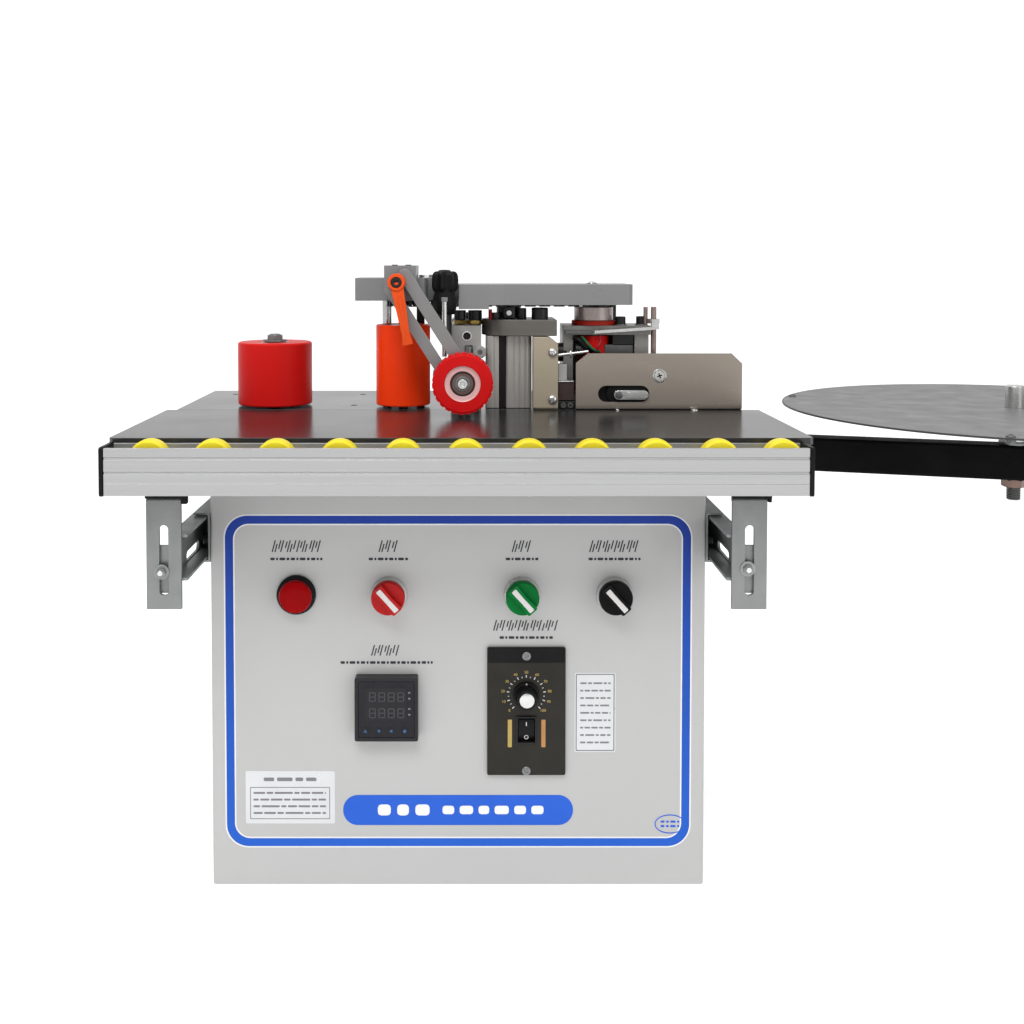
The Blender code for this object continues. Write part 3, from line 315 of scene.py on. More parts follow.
                                tone_scale=60.0, bump=0.04, bump_scale=500.0, spec=0.15),
    "brass": finish_material("brass_v", (0.36, 0.25, 0.07), (0.28, 0.19, 0.05), metal=0.8, rough=(0.24, 0.38),
                             tone_scale=90.0, bump=0.08, bump_scale=700.0),
    "white_ring": finish_material("wheel_ring_v", (0.74, 0.46, 0.45), (0.68, 0.37, 0.365), metal=0.2,
                                  rough=(0.26, 0.38), tone_scale=60.0, bump=0.05, bump_scale=700.0, spec=0.3),
    "bearing": finish_material("bearing_dark_v", (0.045, 0.028, 0.026), (0.03, 0.02, 0.018), metal=0.3,
                               rough=(0.22, 0.34), tone_scale=90.0, bump=0.04, bump_scale=700.0, spec=0.3),
    "rust_rod": finish_material("rod_brown_v", (0.30, 0.235, 0.215), (0.17, 0.11, 0.095), metal=0.5,
                                rough=(0.22, 0.36), tone_scale=60.0, stretch=(60, 60, 1.5), bump=0.05,
                                bump_scale=600.0),
    "purple": finish_material("anodised_brown_v", (0.060, 0.040, 0.038), (0.042, 0.030, 0.028), metal=0.3,
                              rough=(0.26, 0.42), tone_scale=50.0, stretch=(10, 10, 1), bump=0.08,
                              bump_scale=600.0, spec=0.3),
    # silver steel drum; its pink cast is a painted reflection of the red parts beside it
    "drum": finish_material("drum_silver_red_reflection_v", (0.40, 0.335, 0.320), (0.35, 0.29, 0.278), metal=0.45,
                            rough=(0.22, 0.32), tone_scale=24.0, bump=0.03, bump_scale=600.0),
    "flange_red": finish_material("flange_red_v", (0.34, 0.014, 0.006), (0.28, 0.011, 0.005), rough=(0.30, 0.42),
                                  tone_scale=50.0, bump=0.06, bump_scale=700.0, spec=0.12),
    "wire_red": finish_material("wire_red_v", (0.26, 0.006, 0.012), (0.22, 0.005, 0.010), rough=(0.34, 0.46),
                                tone_scale=90.0, bump=0.06, bump_scale=900.0, spec=0.2),
    "wire_green": finish_material("wire_green_v", (0.008, 0.10, 0.045), (0.006, 0.08, 0.035), rough=(0.34, 0.46),
                                  tone_scale=90.0, bump=0.06, bump_scale=900.0, spec=0.2),
    "pink_nut": finish_material("nut_copper_v", (0.215, 0.14, 0.115), (0.165, 0.105, 0.085), metal=0.6,
                                rough=(0.26, 0.40), tone_scale=70.0, bump=0.08, bump_scale=600.0),
    # near-black for the inside of the column's slot: painted shade
    "slot_painted_shade": finish_material("slot_painted_shade_v", (0.014, 0.009, 0.010), (0.010, 0.007, 0.008), rough=(0.3, 0.45), tone_scale=50.0,
                                 bump=0.05, bump_scale=600.0, spec=0.15),
    "shield": finish_material("shield_brown_v", (0.20, 0.12, 0.11), (0.15, 0.085, 0.08), metal=0.5,
                              rough=(0.24, 0.36), tone_scale=90.0, bump=0.05, bump_scale=700.0),
}


# =============================================================================
# geometry helpers, all lengths in millimetres
# =============================================================================
def to_axis(axis, u, v, h):
    return {"X": (h, u, v), "Y": (u, h, v), "Z": (u, v, h)}[axis]


def tidy(bm):
    bmesh.ops.remove_doubles(bm, verts=bm.verts, dist=1e-6)
    bmesh.ops.recalc_face_normals(bm, faces=bm.faces)
    return bm


def merge(bm, own):
    if bm is None:
        return own
    mesh = bpy.data.meshes.new("scratch")
    own.to_mesh(mesh)
    own.free()
    bm.from_mesh(mesh)
    bpy.data.meshes.remove(mesh)
    return bm


def prism(points, axis, a, b, bm=None):
    own = bmesh.new()
    verts = [own.verts.new(Vector(to_axis(axis, u, v, a)) * MM) for u, v in points]
    face = own.faces.new(verts)
    out = bmesh.ops.extrude_face_region(own, geom=[face])
    moved = [g for g in out["geom"] if isinstance(g, bmesh.types.BMVert)]
    bmesh.ops.translate(own, verts=moved, vec=Vector(to_axis(axis, 0.0, 0.0, b - a)) * MM)
    tidy(own)
    return merge(bm, own)


def block(x0, x1, y0, y1, z0, z1, bm=None):
    return prism([(x0, y0), (x1, y0), (x1, y1), (x0, y1)], "Z", z0, z1, bm)


def circle(cu, cv, r, seg, phase=0.0):
    return [(cu + r * math.cos(2 * math.pi * (i + phase) / seg),
             cv + r * math.sin(2 * math.pi * (i + phase) / seg)) for i in range(seg)]


def rod(cu, cv, r, axis, a, b, seg=40, bm=None):
    return prism(circle(cu, cv, r, seg), axis, a, b, bm)


def lathe(profile, axis, cu, cv, seg=64, bm=None):
    own = bmesh.new()
    verts = [own.verts.new(Vector(to_axis(axis, cu + r, cv, h)) * MM) for r, h in profile]
    edges = []
    for i, vert in enumerate(verts):
        nxt = verts[(i + 1) % len(verts)]
        if not (profile[i][0] == 0 and profile[(i + 1) % len(verts)][0] == 0):
            edges.append(own.edges.new((vert, nxt)))
    bmesh.ops.spin(own, geom=verts + edges, cent=Vector(to_axis(axis, cu, cv, 0.0)) * MM,
                   axis=Vector(to_axis(axis, 0.0, 0.0, 1.0)), dvec=(0, 0, 0), angle=2 * math.pi,
                   steps=seg, use_merge=True, use_duplicate=False)
    bmesh.ops.remove_doubles(own, verts=own.verts, dist=1e-6)
    bmesh.ops.delete(own, geom=[v for v in own.verts if not v.link_faces], context="VERTS")
    tidy(own)
    return merge(bm, own)


def fillet(points, radius, seg=5):
    """Rounds the corners of a polygon. radius is one number or one per corner."""
    count = len(points)
    radii = radius if isinstance(radius, (list, tuple)) else [radius] * count
    out = []
    for i in range(count):
        p, a, b = Vector(points[i]), Vector(points[i - 1]), Vector(points[(i + 1) % count])
        r = radii[i]
        u, v = (a - p), (b - p)
        if r <= 0 or u.length < 1e-9 or v.length < 1e-9:
            out.append(tuple(p))
            continue
        u.normalize()
        v.normalize()
        angle = u.angle(v)
        if angle > math.pi - 0.02:
            out.append(tuple(p))
            continue
        reach = min(r / math.tan(angle / 2), (a - p).length * 0.49, (b - p).length * 0.49)
        r = reach * math.tan(angle / 2)
        centre = p + (u + v).normalized() * (r / math.sin(angle / 2))
        s, e = p + u * reach - centre, p + v * reach - centre
        sweep = math.atan2(s.x * e.y - s.y * e.x, s.dot(e))
        for k in range(seg + 1):
            t = sweep * k / seg
            c, d = math.cos(t), math.sin(t)
            out.append((centre.x + s.x * c - s.y * d, centre.y + s.x * d + s.y * c))
    return out


def rounded_box(u0, u1, v0, v1, r, seg=6):
    return fillet([(u0, v0), (u1, v0), (u1, v1), (u0, v1)], r, seg)


def slot_outline(u0, u1, v0, v1, seg=12):
    pts = []
    if u1 - u0 >= v1 - v0:
        r, cv = (v1 - v0) / 2, (v0 + v1) / 2
        for i in range(seg + 1):
            a = -math.pi / 2 + math.pi * i / seg
            pts.append((u1 - r + r * math.cos(a), cv + r * math.sin(a)))
        for i in range(seg + 1):
            a = math.pi / 2 + math.pi * i / seg
            pts.append((u0 + r + r * math.cos(a), cv + r * math.sin(a)))
    else:
        r, cu = (u1 - u0) / 2, (u0 + u1) / 2
        for i in range(seg + 1):
            a = math.pi * i / seg
            pts.append((cu + r * math.cos(a), v1 - r + r * math.sin(a)))
        for i in range(seg + 1):
            a = math.pi + math.pi * i / seg
            pts.append((cu + r * math.cos(a), v0 + r + r * math.sin(a)))
    return pts


def link_outline(p, q, rp, rq, seg=16):
    px, py = p
    qx, qy = q
    length = math.hypot(qx - px, qy - py)
    base = math.atan2(qy - py, qx - px)
    lean = math.acos(max(-1.0, min(1.0, (rp - rq) / length)))
    pts = []
    for i in range(seg + 1):
        a = base + lean + (2 * math.pi - 2 * lean) * i / seg
        pts.append((px + rp * math.cos(a), py + rp * math.sin(a)))
    for i in range(seg + 1):
        a = base - lean + 2 * lean * i / seg
        pts.append((qx + rq * math.cos(a), qy + rq * math.sin(a)))
    return pts


def belt_outline(a, b, r, seg=24):
    base = math.atan2(b[1] - a[1], b[0] - a[0])
    pts = []
    for i in range(seg + 1):
        t = base + math.pi / 2 + math.pi * i / seg
        pts.append((a[0] + r * math.cos(t), a[1] + r * math.sin(t)))
    for i in range(seg + 1):
        t = base - math.pi / 2 + math.pi * i / seg
        pts.append((b[0] + r * math.cos(t), b[1] + r * math.sin(t)))
    return pts


def mesh_object(name, bm):
    mesh = bpy.data.meshes.new(name)
    bm.to_mesh(mesh)
    bm.free()
    obj = bpy.data.objects.new(name, mesh)
    bpy.context.scene.collection.objects.link(obj)
    return obj


def csg(bm, tool, operation="DIFFERENCE"):
    """EXACT Boolean of two meshes, returned as a new mesh."""
    a, b = mesh_object("csg_a", bm), mesh_object("csg_b", tool)
    mod = a.modifiers.new("csg", "BOOLEAN")
    mod.operation = operation
    mod.solver = "EXACT"
    mod.object = b
    bpy.context.view_layer.update()
    done = a.evaluated_get(bpy.context.evaluated_depsgraph_get())
    out = bmesh.new()
    out.from_mesh(done.to_mesh())
    done.to_mesh_clear()
    for o in (a, b):
        mesh = o.data
        bpy.data.objects.remove(o, do_unlink=True)
        bpy.data.meshes.remove(mesh)
    bmesh.ops.remove_doubles(out, verts=out.verts, dist=1e-7)
    bmesh.ops.dissolve_degenerate(out, edges=out.edges, dist=1e-7)
    return out


MACHINE = "machine_frame"


def piece(name, bm, mat, body=MACHINE, bevel=0.3, seg=2, angle=32.0, replaces=()):
    """A finished piece: rounded edges, smooth curved faces, riding on a body."""
    obj = mesh_object(name, bm)
    mesh = obj.data
    mesh.materials.append(M[mat])
    for poly in mesh.polygons:
        poly.use_smooth = True
    if bevel:
        mod = obj.modifiers.new("edge", "BEVEL")
        mod.width = bevel * MM
        mod.segments = seg
        mod.limit_method = "ANGLE"
        mod.angle_limit = math.radians(angle)
        mod.harden_normals = True
        mod.miter_outer = "MITER_ARC"
        mod.use_clamp_overlap = True
    else:
        mesh.set_sharp_from_angle(angle=math.radians(angle))
    if replaces:
        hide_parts(*([replaces] if isinstance(replaces, str) else replaces))
    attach(obj, body)
    return obj


def place(bm, matrix):
    bmesh.ops.transform(bm, matrix=matrix, verts=bm.verts)
    return bm


TURN = {"Z": Matrix.Identity(4), "-Y": Matrix.Rotation(math.radians(90), 4, "X"),
        "Y": Matrix.Rotation(math.radians(-90), 4, "X"), "X": Matrix.Rotation(math.radians(90), 4, "Y"),
        "-X": Matrix.Rotation(math.radians(-90), 4, "Y"), "-Z": Matrix.Rotation(math.radians(180), 4, "X")}


def at(bm, point, towards, spin=0.0):
    """Moves a mesh built standing on z=0 at the origin to a point (mm), its top pointing a given way."""
    m = Matrix.Translation(Vector(point) * MM) @ TURN[towards] @ Matrix.Rotation(math.radians(spin), 4, "Z")
    return place(bm, m)


_templates = {}


def template(key, make):
    if key not in _templates:
        bm = make()
        mesh = bpy.data.meshes.new(f"template_{len(_templates)}")
        bm.to_mesh(mesh)
        bm.free()
        _templates[key] = mesh
    out = bmesh.new()
    out.from_mesh(_templates[key])
    return out


def dome(r, h, edge=0.3, seg=6):
    """Profile of a low domed head."""
    pts = [(0.0, 0.0), (r, 0.0), (r, edge)]
    for i in range(1, seg + 1):
        t = math.pi / 2 * i / seg
        pts.append((r * math.cos(t) if i < seg else 0.0, edge + (h - edge) * math.sin(t)))
    return pts


def phillips(r, h):
    """Pan head with a cross recess."""
    def make():
        head = lathe(dome(r, h, h * 0.25, 8), "Z", 0, 0, 32)
        w, reach = r * 0.14, r * 0.62
        cross = block(-reach, reach, -w, w, h * 0.45, h * 2)
        cross = csg(cross, block(-w, w, -reach, reach, h * 0.45, h * 2), "UNION")
        return csg(head, cross)
    return template(("phillips", r, h), make)


def countersunk(r):
    def make():
        head = lathe([(0.0, -0.8), (r * 0.6, -0.8), (r, 0.0), (r * 0.97, 0.12), (0.0, 0.22)], "Z", 0, 0, 40)
        w, reach = r * 0.12, r * 0.55
        cross = block(-reach, reach, -w, w, -0.45, 2)
        cross = csg(cross, block(-w, w, -reach, reach, -0.45, 2), "UNION")
        return csg(head, cross)
    return template(("countersunk", r), make)


def socket_head(r, h, hexr=None):
    """Cylinder head with a hexagon socket."""
    hexr = hexr or r * 0.55

    def make():
        head = lathe([(0.0, 0.0), (r, 0.0), (r, h - r * 0.1), (r * 0.9, h), (0.0, h)], "Z", 0, 0, 40)
        return csg(head, prism(circle(0, 0, hexr, 6), "Z", h * 0.4, h + 2))
    return template(("socket", r, h, hexr), make)


def button_head(r, h, hexr=None):
    hexr = hexr or r * 0.42

    def make():
        head = lathe(dome(r, h, h * 0.2, 8), "Z", 0, 0, 40)
        return csg(head, prism(circle(0, 0, hexr, 6), "Z", h * 0.45, h + 2))
    return template(("button", r, h, hexr), make)


def hex_part(af, h, hole=0.0, washer=0.0):
    """Hexagon nut or head across flats af, chamfered, with an optional hole."""
    def make():
        rc = af / math.sqrt(3)
        c = (rc - af / 2) * 0.62
        nut = prism(circle(0, 0, rc, 6, 0.5), "Z", 0, h)
        cone = lathe([(0.0, -0.01), (af / 2 - 0.05, -0.01), (rc + 0.02, c), (rc + 0.02, h - c),
                      (af / 2 - 0.05, h + 0.01), (0.0, h + 0.01)], "Z", 0, 0, 48)
        nut = csg(nut, cone, "INTERSECT")
        if hole:
            nut = csg(nut, rod(0, 0, hole, "Z", -1, h + 1, 32))
        return nut
    return template(("hex", af, h, hole), make)


def washer(r, hole, t):
    return lathe([(hole, 0.0), (r, 0.0), (r, t), (hole, t)], "Z", 0, 0, 40)


def threaded(r, length, pitch=1.75, depth=None):
    """Stud whose thread is cut as fine ridges."""
    depth = depth or pitch * 0.45
    pts = [(0.0, 0.0), (r - depth, 0.0)]
    z = pitch * 0.25
    while z + pitch < length:
        pts += [(r - depth, z), (r, z + pitch * 0.4), (r, z + pitch * 0.6), (r - depth, z + pitch * 0.95)]
        z += pitch
    pts += [(r - depth, length), (0.0, length)]
    return lathe(pts, "Z", 0, 0, 28)


def tube(name, points, r, mat, body=MACHINE, seg=12):
    """Round wire or hose along a smooth path."""
    curve = bpy.data.curves.new(name, "CURVE")
    curve.dimensions = "3D"
    curve.bevel_depth = r * MM
    curve.bevel_resolution = 3
    curve.resolution_u = seg
    curve.use_fill_caps = True
    spline = curve.splines.new("BEZIER")
    spline.bezier_points.add(len(points) - 1)
    for bp, co in zip(spline.bezier_points, points):
        bp.co = Vector(co) * MM
        bp.handle_left_type = bp.handle_right_type = "AUTO"
    curve.materials.append(M[mat])
    obj = bpy.data.objects.new(name + "_curve", curve)
    bpy.context.scene.collection.objects.link(obj)
    bpy.context.view_layer.update()
    mesh = bpy.data.meshes.new_from_object(obj.evaluated_get(bpy.context.evaluated_depsgraph_get()))
    bpy.data.objects.remove(obj, do_unlink=True)
    out = bpy.data.objects.new(name, mesh)
    bpy.context.scene.collection.objects.link(out)
    for poly in mesh.polygons:
        poly.use_smooth = True
    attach(out, body)
    return out


# =============================================================================
# dimensions repeated from the CAD source, mm
# =============================================================================
HX, HY, CAB_H, SHEET = 190.0, 120.0, 350.0, 2.0
TABLE_Z, T0 = 355.5, 350.5
FEED_Y = -16.0
BAR_X, BAR_Y0, BAR_Y1, BAR_Z0, BAR_Z1 = 245.0, -201.0, -175.0, 319.0, 352.2
WHEEL_X0, WHEEL_PITCH, WHEELS, WHEEL_Y, WHEEL_Z, WHEEL_R, WHEEL_W = -216.0, 44.5, 11, -188.0, 343.0, 14.0, 12.0
GUIDE, GUIDE_R = (-163.0, 18.0), 32.3
FEED, FEED_R = (-49.3, 8.0), 23.6
TAPE, DRIVE, GLUE = (117.7, 15.0), (43.0, 11.9), (8.0, -7.5)
PIVOT_A, PIVOT_B = (-44.5, 470.9), (-56.9, 459.3)
ARM_END_A, ARM_END_B = (0.1, 400.6), (-12.3, 389.0)
CLAMP, WHEEL_AXIS = (-50.7, 465.1), (3.2, 383.2)
ARM_Y0, ARM_Y1 = -50.0, -42.0
STAR = (-12.4, -23.5)
LAMP = (-123.9, 226.7)
SELECTORS = {"power": (-53.0, "knob_red"), "motor": (49.1, "knob_green"), "curve": (120.0, "knob_black")}
SELECTOR_Z = 226.4
TEMP = (-78.8, -30.4, 115.9, 164.9)
SPEED = (22.4, 82.6, 86.8, 186.2)
SPEED_KNOB = (52.4, 149.6)
ROCKER = (44.6, 60.4, 111.4, 133.0)
RP, RA, REEL_R, ARM_Z0, ARM_Z1, DISC_Z = (212.0, 104.0), (494.5, 25.0), 200.0, 289.0, 319.5, 352.2
PANEL = -HY                      # front face of the cabinet
P = PANEL - 0.3                  # back of what sits on the panel

# =============================================================================
# camera, lights, floor
# =============================================================================
scene = bpy.context.scene
scene.view_settings.view_transform = "Standard"
cam_data = bpy.data.cameras.new("camera")
cam = bpy.data.objects.new("camera", cam_data)
scene.collection.objects.link(cam)
cam.location = (0.010, -0.985, 0.4797)
cam.rotation_euler = (math.radians(88.0), 0.0, 0.0)
cam_data.lens = 40.0
cam_data.sensor_width = 36.0
cam_data.shift_x = 0.040
cam_data.shift_y = -0.203
cam_data.clip_start = 0.01
cam_data.clip_end = 200.0
scene.camera = cam

world = bpy.data.worlds.new("studio")
scene.world = world
world.use_nodes = True
wn, wl = world.node_tree.nodes, world.node_tree.links
back = wn["Background"]
coord = wn.new("ShaderNodeTexCoord")
split = wn.new("ShaderNodeSeparateXYZ")
wl.new(coord.outputs["Generated"], split.inputs["Vector"])
lift = wn.new("ShaderNodeMapRange")
lift.inputs["From Min"].default_value = 0.0
lift.inputs["From Max"].default_value = 0.9
lift.inputs["To Min"].default_value = 0.32
lift.inputs["To Max"].default_value = 0.85
wl.new(split.outputs["Z"], lift.inputs["Value"])
rear = wn.new("ShaderNodeMapRange")
rear.inputs["From Min"].default_value = 0.2
rear.inputs["From Max"].default_value = 0.9
rear.inputs["To Min"].default_value = 0.0
rear.inputs["To Max"].default_value = 0.48
wl.new(split.outputs["Y"], rear.inputs["Value"])
both = wn.new("ShaderNodeMath")
both.operation = "ADD"
wl.new(lift.outputs["Result"], both.inputs[0])
wl.new(rear.outputs["Result"], both.inputs[1])
path = wn.new("ShaderNodeLightPath")
pick = wn.new("ShaderNodeMix")
pick.data_type = "FLOAT"
wl.new(path.outputs["Is Camera Ray"], pick.inputs["Factor"])
wl.new(both.outputs[0], pick.inputs["A"])
pick.inputs["B"].default_value = 1.05
wl.new(pick.outputs["Result"], back.inputs["Strength"])
back.inputs["Color"].default_value = (1.0, 1.0, 1.0, 1.0)


def area(name, location, target, size, power, colour=(1.0, 1.0, 1.0)):
    data = bpy.data.lights.new(name, "AREA")
    data.shape = "RECTANGLE"
    data.size, data.size_y = size
    data.energy = power
    data.color = colour
    obj = bpy.data.objects.new(name, data)
    obj.location = location
    obj.rotation_euler = (Vector(target) - Vector(location)).to_track_quat("-Z", "Y").to_euler()
    scene.collection.objects.link(obj)
    return obj


area("key_front", (-0.38, -1.25, 2.05), (0.0, -0.05, 0.30), (1.6, 0.9), 35.0)
area("fill_right", (1.35, -1.15, 0.80), (0.0, -0.05, 0.33), (0.9, 0.9), 5.0)

floor_mat = finish_material("floor_v", (0.93, 0.93, 0.93), (0.91, 0.91, 0.91), rough=(0.55, 0.7), tone_scale=3.0,
                            bump=0.02, bump_scale=60.0, emission=((1.0, 1.0, 1.0), 0.40))
fl = bmesh.new()
bmesh.ops.create_grid(fl, x_segments=8, y_segments=8, size=40.0)
floor = mesh_object("floor", fl)
floor.data.materials.append(floor_mat)
floor.location = (0.0, 0.0, -0.0005)
floor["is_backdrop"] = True

# =============================================================================
# cabinet
# =============================================================================
shell = prism(fillet([(-HX, -HY), (HX, -HY), (HX, HY), (-HX, HY)], [2.6, 2.6, 0.4, 0.4], 6), "Z", 0.0, CAB_H - 0.3)
shell = csg(shell, block(-HX + SHEET, HX - SHEET, -HY + SHEET, HY + 5, SHEET, CAB_H - 0.3 - SHEET))
shell = csg(shell, block(-HX + 18, HX - 18, -HY + 18, HY + 5, CAB_H - 10, CAB_H + 5))
tools = rod(LAMP[0], LAMP[1], 11.2, "Y", PANEL - 2, PANEL + 5, 32)
for sx, _ in SELECTORS.values():
    rod(sx, SELECTOR_Z, 11.2, "Y", PANEL - 2, PANEL + 5, 32, tools)
block(TEMP[0] + 1.4, TEMP[1] - 1.4, PANEL - 2, PANEL + 5, TEMP[2] + 1.4, TEMP[3] - 1.4, tools)
block(SPEED[0] + 6, SPEED[1] - 6, PANEL - 2, PANEL + 5, SPEED[2] + 10, SPEED[3] - 10, tools)
shell = csg(shell, tools)
piece("cabinet_body", shell, "cabinet", bevel=0.35, replaces="cabinet_shell")

# screws that hold the rear cover, and the tables to the cabinet's flange
for i, (sx, sz) in enumerate(((-180, 12), (180, 12), (-180, 175), (180, 175), (-180, 338), (180, 338), (0, 12), (0, 338))):
    piece(f"rear_screw_{i}", at(phillips(3.8, 2.0), (sx, HY + 0.05, sz), "Y", 17 * i), "zinc", bevel=0)

# ---- printed frame: blue line with a pale halo, its blue darkened towards the top as painted shade ---
def ring_plate(outer, inner, axis, a, b):
    bm = prism(outer, axis, a, b)
    return csg(bm, prism(inner, axis, a - 3, b + 3))


BX0, BX1, BZ0, BZ1 = -178.6, 178.6, 30.1, 287.4
piece("panel_line", ring_plate(rounded_box(BX0, BX1, BZ0, BZ1, 17.0, 14), rounded_box(BX0 + 6.2, BX1 - 6.2, BZ0 + 6.2, BZ1 - 6.2, 12.0, 14),
                               "Y", PANEL - 0.22, PANEL - 0.02), "print_blue_painted_shade", bevel=0)
piece("panel_halo", ring_plate(rounded_box(BX0 - 1.1, BX1 + 1.1, BZ0 - 1.1, BZ1 + 1.1, 18.1, 14),
                               rounded_box(BX0 + 7.3, BX1 - 7.3, BZ0 + 7.3, BZ1 - 7.3, 10.9, 14),
                               "Y", PANEL - 0.12, PANEL - 0.02), "print_white", bevel=0)

# ---- indicator lamp ------------------------------------------------------------
base = [(10.9, PANEL + 0.2), (15.0, PANEL - 0.2), (15.0, P - 2.6), (14.4, P - 3.6), (13.0, P - 4.2), (13.0, P - 5.4), (10.9, P - 5.4)]
lamp_body = [(0.0, PANEL + 24), (10.9, PANEL + 24), (10.9, P - 4.8), (12.6, P - 4.8), (12.8, P - 6.6), (11.8, P - 9.2),
             (9.2, P - 10.1), (5.0, P - 10.45), (0.0, P - 10.5)]
piece("lamp_lens", lathe(lamp_body, "Y", LAMP[0], LAMP[1], 64), "lamp", bevel=0.25, replaces="power_lamp")
piece("lamp_base_ring", lathe(base, "Y", LAMP[0], LAMP[1], 64), "black_pl", bevel=0.25)

# ---- selector switches -----------------------------------------------------------
for key, (sx, mat) in SELECTORS.items():
    body_name = f"selector_knob_{key}"
    disc = lathe([(0.0, PANEL + 22), (5.5, PANEL + 22), (5.5, PANEL + 4), (10.9, PANEL + 4), (10.9, P - 5.0),
                  (12.6, P - 5.0), (12.8, P - 5.6), (12.8, P - 10.9), (12.2, P - 12.0), (0.0, P - 12.0)],
                 "Y", sx, SELECTOR_Z, 72)
    grip = prism(fillet([(-4.6, -11.8), (4.6, -11.8), (3.9, 0.0), (4.6, 11.8), (-4.6, 11.8), (-3.9, 0.0)],
                        [1.6, 1.6, 8.0, 1.6, 1.6, 8.0], 6), "Y", -17.0, -10.0)
    grip = place(grip, Matrix.Translation(Vector((sx, P, SELECTOR_Z)) * MM) @ Matrix.Rotation(math.radians(-42.0), 4, "Y"))
    body = csg(disc, grip, "UNION")
    piece(f"selector_{key}_body", body, mat, body_name, bevel=0.45, seg=3, replaces=f"selector_knob_{key}")
    bar = prism(fillet([(-2.1, -10.6), (2.1, -10.6), (1.9, 0.0), (2.1, 10.6), (-2.1, 10.6), (-1.9, 0.0)],
                       [0.8, 0.8, 4.0, 0.8, 0.8, 4.0], 4), "Y", -17.6, -12.4)
    bar = place(bar, Matrix.Translation(Vector((sx, P, SELECTOR_Z)) * MM) @ Matrix.Rotation(math.radians(-42.0), 4, "Y"))
    piece(f"selector_{key}_insert", bar, "insert", body_name, bevel=0.4)
    bez = [(11.3, PANEL + 0.1), (13.9, PANEL - 0.1), (14.1, P - 0.8), (13.6, P - 3.4), (12.4, P - 4.6), (11.3, P - 4.6)]
    piece(f"selector_{key}_bezel", lathe(bez, "Y", sx, SELECTOR_Z, 72), "bezel", bevel=0.25)

# ---- temperature controller ---------------------------------------------------------
body = prism(rounded_box(TEMP[0], TEMP[1], TEMP[2], TEMP[3], 1.6), "Y", P - 9.0, P)
body = csg(body, block(TEMP[0] + 1.9, TEMP[1] - 1.9, P - 2.0, PANEL + 78, TEMP[2] + 1.9, TEMP[3] - 1.9), "UNION")
body = csg(body, prism(rounded_box(TEMP[0] + 2.8, TEMP[1] - 2.8, TEMP[2] + 2.8, TEMP[3] - 2.8, 1.0), "Y", P - 12, P - 8.0))
piece("temp_housing", body, "black_gloss", bevel=0.6, seg=3, replaces="temperature_controller")
piece("temp_face", prism(rounded_box(TEMP[0] + 3.0, TEMP[1] - 3.0, TEMP[2] + 3.0, TEMP[3] - 3.0, 0.8), "Y", P - 8.6, P - 7.9),
      "face_dark", bevel=0.15)
FACE = P - 8.6
piece("temp_window", prism(rounded_box(-71.2, -38.8, 131.6, 157.2, 0.8), "Y", FACE - 0.25, FACE + 0.1), "black_gloss", bevel=0.1)

SEGMENTS = {"a": ((0.15, 1.9), (0.85, 1.9)), "b": ((1.0, 1.1), (1.0, 1.8)), "c": ((1.0, 0.2), (1.0, 0.9)),
            "d": ((0.15, 0.1), (0.85, 0.1)), "e": ((0.0, 0.2), (0.0, 0.9)), "f": ((0.0, 1.1), (0.0, 1.8)),
            "g": ((0.15, 1.0), (0.85, 1.0))}


def segment_digits(x0, z0, w, h, count, pitch, y0, y1):
    bm = None
    for k in range(count):
        for (ax, az), (bx, bz) in SEGMENTS.values():
            p = (x0 + k * pitch + ax * w, z0 + az * h / 2)
            q = (x0 + k * pitch + bx * w, z0 + bz * h / 2)
            bm = prism(link_outline(p, q, 0.42, 0.42, 4), "Y", y0, y1, bm)
    return bm


piece("temp_digits_top", segment_digits(-67.4, 146.6, 4.4, 7.4, 4, 7.2, FACE - 0.4, FACE - 0.2), "digit", bevel=0)
piece("temp_digits_low", segment_digits(-67.4, 134.0, 4.4, 7.6, 4, 7.2, FACE - 0.4, FACE - 0.2), "digit", bevel=0)
marks = None
for mz in (153.5, 141.0, 149.0, 136.6):
    marks = prism(rounded_box(-37.9, -36.3, mz - 0.6, mz + 0.6, 0.3, 3), "Y", FACE - 0.25, FACE, marks)
piece("temp_marks", marks, "print_grey", bevel=0)
keys = None
for i, kx in enumerate((-70.6, -60.2, -51.1, -40.6)):
    keys = prism(circle(kx, 123.8, 2.9, 24), "Y", FACE - 0.3, FACE, keys)
piece("temp_keys", keys, "face_dark", bevel=0.12)
glyphs = prism([(-71.9, 122.9), (-69.3, 122.9), (-70.6, 125.2)], "Y", FACE - 0.45, FACE - 0.2)
prism([(-61.4, 124.8), (-59.0, 124.8), (-60.2, 122.6)], "Y", FACE - 0.45, FACE - 0.2, glyphs)
prism([(-50.0, 125.1), (-50.0, 122.7), (-52.4, 123.9)], "Y", FACE - 0.45, FACE - 0.2, glyphs)
prism(circle(-40.6, 123.8, 1.2, 16), "Y", FACE - 0.45, FACE - 0.2, glyphs)
piece("temp_key_marks", glyphs, "key_blue", bevel=0)

